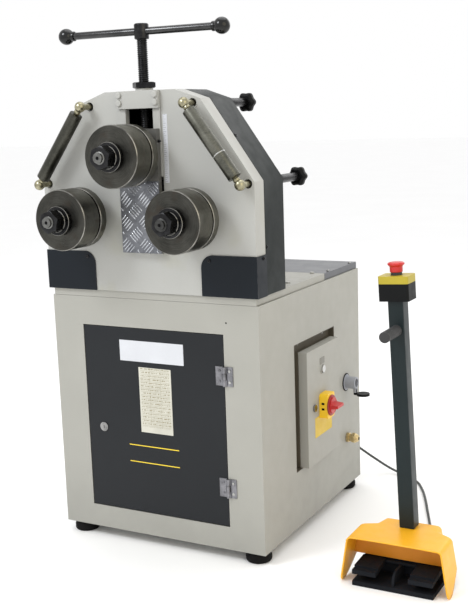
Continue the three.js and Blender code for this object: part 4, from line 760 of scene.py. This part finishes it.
def add_screw():
    stem = thread(13, 1.6, SCREW_PITCH, 1077, 1309, SCREW)
    profile = [(0, 1306.6), (16.5, 1306.6), (18, 1308.5), (18, 1341.5), (15.5, 1344), (0, 1344)]
    hub = lathe(profile, SCREW, UPWARD, 48, 0.8)
    put("threaded_screw", joined(stem, hub), "press_screw", black_steel, ["press_screw"], 50)
    bar = rod(18, HUB - BAR * BAR_HALF, HUB + BAR * BAR_HALF, 40, 1)
    for end in (-1, 1):
        ball = sphere(40, HUB + BAR * 215.5 * end, BAR, 48)
        neck = rod(24, HUB + BAR * 191 * end, HUB + BAR * 199.9 * end, 40, 1.5)
        bar = joined(bar, finished(ball, 1), finished(neck, 1))
    put("handle_bar", bar, "press_screw", [bar_steel, ball_plastic], ["tommy_bar"])
    nut = hexagonal(50, SCREW + UPWARD * 1190.1, UPWARD, 14.6, 26.6, radians(20))
    put("chamfered_lock_nut", nut, "lock_nut", black_steel, ["lock_nut"])


add_screw()


# Side guides

GUIDE_TOP, GUIDE_FOOT = (149, 1150), (291, 958)  # offset and height of an axle's two ball ends
GUIDE_DEPTH = FRONT - 40


def add_guide(name, side, dark, light):
    upper, lower = (Vector((side * x, GUIDE_DEPTH, z)) for x, z in (GUIDE_TOP, GUIDE_FOOT))
    axis = (lower - upper).normalized()
    length = (lower - upper).length
    parts = []
    for ball, away in ((upper, axis), (lower, -axis)):
        neck = [(0, 8), (7.5, 8), (8.6, 14.5), (8.6, 17), (6.8, 18), (6.8, 21.2), (0, 21.2)]
        parts += [sphere(27, ball, axis, 44), lathe(neck, ball, away, 40, 0.8)]
        parts.append(rod(15, ball, ball + INWARD * 47, 40))
    put(f"{name}_ball_ends", joined(*parts), f"{name}_guide", brass, [f"{name}_guide_axle"])
    middle = (upper + lower) / 2
    steel = turned(
        f"{name}_guide_steel", middle, axis, dark, light, (52, 52, 45), (0.26, 0.42), rings=900, depth=0.2
    )
    half = length / 2 - 21.5
    tube = [(6.3, -half), (16.5, -half), (16.5, half), (6.3, half)]
    shape = lathe(tube, middle, axis, 72, 1.4, hollow=True)
    if side > 0:
        score = [(16.3, 0.3 * half), (16.62, 0.31 * half), (16.62, 0.33 * half), (16.3, 0.34 * half)]
        shape = joined(shape, finished(lathe(score, middle, axis, 72, hollow=True), 1))
    roller = f"{name}_guide_roller"
    put(f"{name}_guide_tube", shape, roller, [steel, bright_steel], [roller])
    for height, place in (("upper", upper), ("lower", lower)):
        hole = Vector((place.x, FRONT, place.z))
        pin = rod(14, hole + INWARD * 7.6, hole + INWARD * 140, 32)
        sleeve = rod(22, hole + INWARD * 137, hole + INWARD * 269.5, 40, 1)
        profile = [(0, 269), (19, 269), (25.8, 275), (25.8, 287), (17, 295), (0, 295)]
        knob = lathe(profile, hole, INWARD, 96, 2, outline=lambda angle: 0.93 + 0.07 * cos(6 * angle))
        boss = rod(20, hole + INWARD * 262, hole + INWARD * 271, 40)
        put(
            f"{name}_{height}_star_rod", joined(pin, sleeve, finished(knob, 1), finished(boss, 1)),
            f"{name}_{height}_rod", [black_steel, black_plastic], [f"{name}_{height}_rod"], 50,
        )


# The right guide's steel lighter than the left one's: painted light on the right guide, painted shade on the
# left
add_guide("left", -1, (50, 51, 46), (88, 87, 80))
add_guide("right", 1, (70, 71, 64), (126, 125, 116))


# Foot shield, in depths from the middle of the stand

SHIELD_TOP, SHIELD_CORNER = 117, 12  # height and corner radius
SHIELD_LEAN = 18.5 / 117  # of the side walls, inwards to height
FLOOR_GAP = 0.6
TOE_RADIUS, TOE_END = 16, -281
ARCH_START, ARCH_END, ARCH_HEIGHT = -272, -203, 46
SHOULDER, WAIST = -207, -183  # between them the shield gets narrower
SHIELD_DEPTHS = (
    -297, -296, -293, -289, -284, -279, -272, -265, -258, -250, -242, -234, -226, -218, -211, -207,
    -203, -198, -193, -188, -183, -172, -160, -151, -148,
)


def leg_edge(depth):
    """Height of the shield's lower edge at a depth: a round toe, a flat foot, an arch and a flat rear."""
    if depth < TOE_END:
        return TOE_RADIUS - sqrt(max(0, TOE_RADIUS ** 2 - (depth - TOE_END) ** 2))
    if depth < ARCH_START:
        return 0
    if depth > ARCH_END:
        return ARCH_HEIGHT
    # The arch is a curve that is 44 t + 25 t^2 behind its start
    t = (-44 + sqrt(44 ** 2 + 100 * (depth - ARCH_START))) / 50
    return 12 * t * (1 - t) + ARCH_HEIGHT * t ** 2


def shield_outline(depth):
    """Half the shield's outline at a depth, from its foot to the middle of its top, as (x, z) points."""
    low = max(leg_edge(depth), FLOOR_GAP)
    t = min(1, max(0, (depth - SHOULDER) / (WAIST - SHOULDER)))
    foot = 134.5 - 36 * t * t * (3 - 2 * t) - max(0, depth - WAIST) * 0.23
    wall_top = SHIELD_TOP - SHIELD_CORNER
    inner = foot - SHIELD_LEAN * wall_top - SHIELD_CORNER
    line = []
    for i in range(11):
        height = low + (wall_top - low) * i / 10
        line.append((foot - SHIELD_LEAN * height, height))
    for i in range(1, 7):
        angle = pi / 2 * i / 6
        line.append((inner + SHIELD_CORNER * cos(angle), wall_top + SHIELD_CORNER * sin(angle)))
    return line + [(inner * (1 - i / 8), SHIELD_TOP) for i in range(1, 9)]


def shield_shape():
    """Flat-topped shell with legs down to the floor and a rear wall, open below and in front."""
    rings = []
    for depth in SHIELD_DEPTHS:
        ring = shield_outline(depth)
        ring = ring + [(-x, z) for x, z in ring[:-1]][::-1]
        bow = 3 if depth < -290 else 0
        rings.append([
            STAND + Vector((x, depth + (bow * (1 - (x / 116) ** 2) if z > 110 else 0), z)) for x, z in ring
        ])
    count = len(rings[0])
    verts, faces, _ = loft(rings, capped=False)
    faces = [face for number, face in enumerate(faces) if (number + 1) % count]
    faces.append(list(range(len(verts) - count, len(verts)))[::-1])
    return verts, faces, [0] * len(faces)


def shield_back():
    """The wall inside the shield behind the pedals, given a darker orange as painted shade."""
    def half(height):
        return 130.6 - SHIELD_LEAN * height
    rings = []
    for depth, inset in ((-224.4, 0.6), (-225, 0), (-227, 0), (-227.6, 0.6)):
        low, high = 50 + inset, 113.6
        outline = [(half(low), low), (half(95), 95), (half(high) - 10, high)]
        outline += [(-x, z) for x, z in outline[::-1]]
        rings.append([STAND + Vector((x, depth, z)) for x, z in outline])
    return loft(rings)


def add_shield():
    shield = put(
        "moulded_shield", shield_shape(), "cabinet", shield_orange, ["foot_shield"], 45
    )
    wall = shield.modifiers.new("wall", "SOLIDIFY")
    wall.thickness = 0.0035
    wall.offset = 1
    edges = shield.modifiers.new("edges", "BEVEL")
    edges.width = 0.001
    edges.segments = 2
    edges.angle_limit = radians(58)
    # Closes the slits that the bevel leaves where its edges run together
    shield.modifiers.new("weld", "WELD").merge_threshold = 0.00012
    # The inner wall in darker orange: painted shade
    put("shield_inner_wall", shield_back(), "cabinet", shaded_wall_orange)


add_shield()


# Emergency stop button and the column's hand grip

COLUMN_LEAN = radians(2.7)
COLUMN_FOOT = STAND + Vector((0, -176, 117.3))
LID_HEIGHT = 560 + 41 + 0.6 + 18  # column, stop box, gap and lid
GRIP_RADIUS = 13.2


def add_stop_button():
    axis = Vector((-sin(COLUMN_LEAN), 0, cos(COLUMN_LEAN)))
    lid_top = COLUMN_FOOT + axis * LID_HEIGHT
    neck = lathe([(0, -10), (13.4, -10), (13.4, 7.5), (0, 7.5)], lid_top, axis, 48, 0.6)
    profile = [(0, 7), (15.2, 7), (15.2, 19), (16.6, 22), (20, 24.5), (20, 28), (16, 30.5), (0, 31)]
    shape = joined(lathe(profile, lid_top, axis, 72, 1.6), finished(neck, 1))
    put("mushroom", shape, "stop_button", [red_plastic, grip_plastic], ["stop_button"])
    grip_start = COLUMN_FOOT + axis * 490 - INWARD * 19
    profile = [(0, -0.5), (GRIP_RADIUS, -0.5)]
    for groove in range(19):
        along = 4 + groove * 4
        for radius, step in ((GRIP_RADIUS, 0), (12.75, 0.7), (12.75, 1.3), (GRIP_RADIUS, 2)):
            profile.append((radius, along + step))
    profile += [(GRIP_RADIUS, 84), (11.5, 86.3), (0, 86.3)]
    put("grip_sleeve", lathe(profile, grip_start, -INWARD, 48), "cabinet", grip_plastic)


add_stop_button()


# Plates, labels and stripes; those of the photograph that carry a name or a warning stay blank

SCALE_LEFT = 65


def add_labels():
    name_plate = slab((-102, -326.1, 501), (90, DOOR_SKIN, 556))
    table = slab((TABLE_LEFT, -325.7, TABLE_BOTTOM), (TABLE_RIGHT, DOOR_SKIN, TABLE_TOP), 0.3)
    stripes = [slab((-87, -325.5, z - 1.2), (65, DOOR_SKIN, z + 1.2), 0.2) for z in (275, 229.5)]
    start_label = slab((PANEL_SKIN, -12, 452), (326, 20, 470), 0.3)
    switch_label = slab((PANEL_SKIN, -50, 257), (325.9, 64, 313), 0.25)
    for name, shape, body, slot, material in (
        ("blank_door_plate", name_plate, "cabinet_door", "grey_plastic", label_white),
        ("ruled_table_plate", table, "cabinet_door", "grey_plastic", ruled_table()),
        ("yellow_stripes", joined(*stripes), "cabinet_door", "yellow_plastic", label_yellow),
        ("start_label", start_label, "panel_door", "grey_plastic", label_grey),
        ("blank_yellow_label", switch_label, "panel_door", "yellow_plastic", label_ochre),
    ):
        put(name, shape, body, material)
    scale = slab((SCALE_LEFT, FRONT - 0.7, 961), (SCALE_LEFT + 12, FRONT + 0.1, 1126), 0.25)
    ticks = []
    for index in range(33):
        z = 964 + index * 5
        start, reach = SCALE_LEFT + 0.7, 4.5 if index % 2 else 7.5
        tick = slab((start, FRONT - 0.8, z - 0.3), (start + reach, FRONT - 0.6, z + 0.3), 0.05)
        ticks.append(finished(tick, 1))
    put("scale_strip", joined(scale, *ticks), "cabinet", [label_white, tick_ink], smooth=20)


add_labels()


# Fasteners and hinge plates

def add_fasteners():
    heads = [
        screw_head((x, FRONT - 12, z), -INWARD, 15, 5, False) for x in (-52, 52) for z in (1155, 1174)
    ]
    for x, y, diameter, height in ((267, 81, 12, 4), (273, -88, 13, 3)):
        heads.append(screw_head((x, y, DECK), UPWARD, diameter, height, False))
    put("painted_bolts", joined(*heads), "cabinet", plate_cream)
    guard_screws = (
        ((180, FRONT - 2.7, 772), (0, -1, 0)), ((310.7, -300, 778), (1, 0, 0)),
        ((308, -277, 803), (1, 0, 0)), ((233, -277, 1070.3), (0.8197, 0, 0.5728)),
    )
    heads = [
        screw_head((side * x, y, z), (side * axis[0], axis[1], axis[2]), 9, 2.4)
        for (x, y, z), axis in guard_screws for side in (-1, 1)
    ]
    put("black_screws", joined(*heads), "cabinet", black_steel)
    flange_screws = ((87, 519), (-77, 520), (-118, 477), (-116, 232))
    heads = [screw_head((289.5, y, z), ACROSS, 7, 2.4) for y, z in flange_screws]
    heads += [screw_head((292, y, DECK), UPWARD, 9, 3.5) for y in (133, 292)]
    heads += [
        screw_head((222, -328.3, middle + end * 14), -INWARD, 7, 1.6) for middle in HINGES for end in (-1, 1)
    ]
    put("bright_screws", joined(*heads), "cabinet", bright_steel)


def add_hinge_leaves():
    """The leaves that turn with the cabinet door, with their share of the hinge pins."""
    leaves = []
    for middle in HINGES:
        leaves.append(slab((182.2, -327.7, middle - 24.5), (204.2, -326.6, middle + 24.5), 0.4))
        leaves.append(rod(9.6, (209, -331.5, middle - 7.8), (209, -331.5, middle + 7.8), 28, 0.4))
        leaves += [screw_head((193, -327.7, middle + end * 14), -INWARD, 7, 1.6) for end in (-1, 1)]
    put("bright_door_leaves", joined(*leaves), "cabinet_door", hinge_steel)


def add_holes():
    """Painted shade, near-black, in the slots of the two locks and in a small hole in the cabinet."""
    hole = lathe([(0, 0), (2.2, 0), (2, 0.25), (0, 0.25)], (215.8, -326, 619.4), -INWARD, 20)
    for name, shape, body in (
        ("key_slot_of_door_lock", slab((-165.2, -327.6, 310), (-163.8, -327.1, 319), 0.15), "door_lock"),
        ("key_slot_of_panel_lock", slab((329.6, -52.8, 337), (330.1, -51.2, 347), 0.15), "panel_lock"),
        ("small_hole", hole, "cabinet"),
    ):
        put(name, shape, body, black_and_painted_shade)


add_fasteners()
add_hinge_leaves()
add_holes()


# Pointer and tread pattern of the top slide

TREAD_LOW, TREAD_HIGH = TOP_ROLL - 64 - 178, TOP_ROLL - 64.3
TREAD_HALF = 56  # half the width that has bars
GROUP_WIDTH, GROUP_HEIGHT = 28, 29  # from one group of bars to the next
BAR_STEP = 7.3
LONGEST_HALF = 14
POINTER_HEIGHT = 1062


def tread_bar(x, z, angle, half):
    """A raised lens-shaped bar on the checker plate."""
    along = Vector((cos(angle), 0, sin(angle)))
    aside = Vector((-sin(angle), 0, cos(angle)))
    middle = Vector((x, FRONT - 20, z))
    rings = []
    for share, height in ((1, -0.1), (0.88, 0.7), (0.5, 1.2)):
        ring = []
        for i in range(12):
            turn = 2 * pi * i / 12
            ring.append(
                middle + along * half * share * cos(turn) + aside * 2 * share * sin(turn)
                - INWARD * height
            )
        rings.append(ring)
    return loft(rings)


def on_plate(place):
    """Whether a place on the checker plate is clear of its edges."""
    return abs(place.x) < TREAD_HALF and TREAD_LOW + 1 < place.y < TREAD_HIGH - 1


def bar_group(centre, angle):
    """Five bars side by side, each as long as the plate has room for."""
    along, aside = Vector((cos(angle), sin(angle))), Vector((-sin(angle), cos(angle)))
    bars = []
    for index in range(-2, 3):
        place = centre + aside * BAR_STEP * index
        steps = [
            step for step in range(-LONGEST_HALF, LONGEST_HALF + 1) if on_plate(place + along * step)
        ]
        if len(steps) > 5:
            place += along * (steps[0] + steps[-1]) / 2
            bars.append(tread_bar(place.x, place.y, angle, (steps[-1] - steps[0]) / 2))
    return bars


def add_tread():
    bars = []
    for column in range(5):
        for row in range(8):
            if (column + row) % 2 == 0:
                centre = Vector((-14 + (column - 2) * GROUP_WIDTH, TREAD_LOW + 17 + (row - 1) * GROUP_HEIGHT))
                bars += bar_group(centre, radians(-45 if column % 2 == 0 else 45))
    # The bars in lighter aluminium: painted highlight
    put("tread_bars", joined(*bars), "top_slide", tread_highlight, smooth=50)


def add_pointer():
    profile = [(0, -1), (4, -1), (4, 3), (2.2, 3), (2.2, 6.5), (0, 9)]
    needle = lathe(profile, (57, FRONT - 12, POINTER_HEIGHT), ACROSS, 24, 0.3)
    screw = screw_head((50, FRONT - 20, POINTER_HEIGHT), -INWARD, 6.5, 2.2)
    shape = joined(needle, finished(screw, 1))
    put("pointer", shape, "top_slide", [black_steel, bright_steel])


add_tread()
add_pointer()


# Details of the panel and the side

SWITCH = (349.6, 3.5, 339)
SOCKET = (SOCKET_SKIN, 220, 346)
GLAND = Vector((SOCKET_SKIN, 225, 178))


def add_panel_details():
    marks = [slab((333, -22, z - 3), (341, -21.3, z + 3), 0.2) for z in (332, 347)]
    put("switch_marks", joined(*marks), "panel_door", black_and_painted_shade)
    ring = [(20, 0.4), (28.6, 0.4), (28.6, 3.4), (26.2, 5), (20, 5)]
    dial = lathe(ring, SWITCH, ACROSS, 64, 0.8, hollow=True)
    put("switch_dial", dial, "main_switch_knob", dial_red)
    gasket = lathe([(20, 0.1), (26, 0.1), (26, 2.4), (20, 2.4)], SOCKET, ACROSS, 56, 0.8, hollow=True)
    put("socket_gasket", gasket, "cabinet", rubber)


def add_gland():
    nut = hexagonal(27, GLAND + ACROSS * 0.1, ACROSS, 8, 12, radians(14))
    profile = [(0, 6), (11.5, 6), (11.5, 15), (13, 16), (13.6, 26), (10.5, 33), (7.5, 36.5), (0, 36.5)]
    body = lathe(profile, GLAND, ACROSS, 48, 1)
    collar = hexagonal(27.5, GLAND + ACROSS * 16, ACROSS, 10, 12, radians(3))
    plug = finished(lathe([(0, 35), (5, 35), (5, 36.9), (0, 36.9)], GLAND, ACROSS, 32), 1)
    put("brass_gland", joined(nut, body, collar, plug), "cabinet", [gold_brass, black_and_painted_shade])


add_panel_details()
add_gland()


# Light and floor

FLOOR_HALF = 40  # half the floor's side, in metres
WHITE = (1, 1, 1)

# Name, place, target, diameter in metres, power in watts and tint of each lamp
LAMPS = (
    ("key", (-1000, -2300, 2800), (0, -200, 800), 1.1, 42, (0.94, 0.97, 1)),
    ("fill", (2600, -1500, 1900), (0, 0, 600), 2.4, 15, (1, 0.88, 0.58)),
    ("top", (100, 300, 3300), (0, 0, 600), 2.4, 24, WHITE),
    ("back", (820, 2500, 2300), (200, 0, 900), 2.0, 10, WHITE),
)


def add_floor():
    mesh = bpy.data.meshes.new("floor")
    corners = [(x * FLOOR_HALF, y * FLOOR_HALF, 0) for x, y in ((-1, -1), (1, -1), (1, 1), (-1, 1))]
    mesh.from_pydata(corners, [], [(0, 1, 2, 3)])
    floor = new_object("floor", mesh)
    shade = Shade("floor_paper", specular=0.1)
    paper = shade.ramp(shade.noise(1.5, 2), (0.3, shift(WHITE, 0.97)), (0.7, shift(WHITE, 0.985)))
    shade.colour(paper)
    shade.sheen(40, 2, 0.8, 0.95)
    mesh.materials.append(shade.material)


def add_light():
    world = bpy.data.worlds.new("studio")
    world.use_nodes = True
    background = world.node_tree.nodes["Background"]
    background.inputs[0].default_value = (*WHITE, 1)
    background.inputs[1].default_value = 1.0
    scene.world = world
    for name, place, target, size, power, tint in LAMPS:
        data = bpy.data.lights.new(name, "AREA")
        data.shape = "DISK"
        data.size = size
        data.energy = power
        data.color = tint
        light = new_object(name, data)
        light.location = at(place)
        light.rotation_euler = (at(target) - light.location).to_track_quat("-Z", "Y").to_euler()
    scene.view_settings.view_transform = "Standard"


add_floor()
add_light()
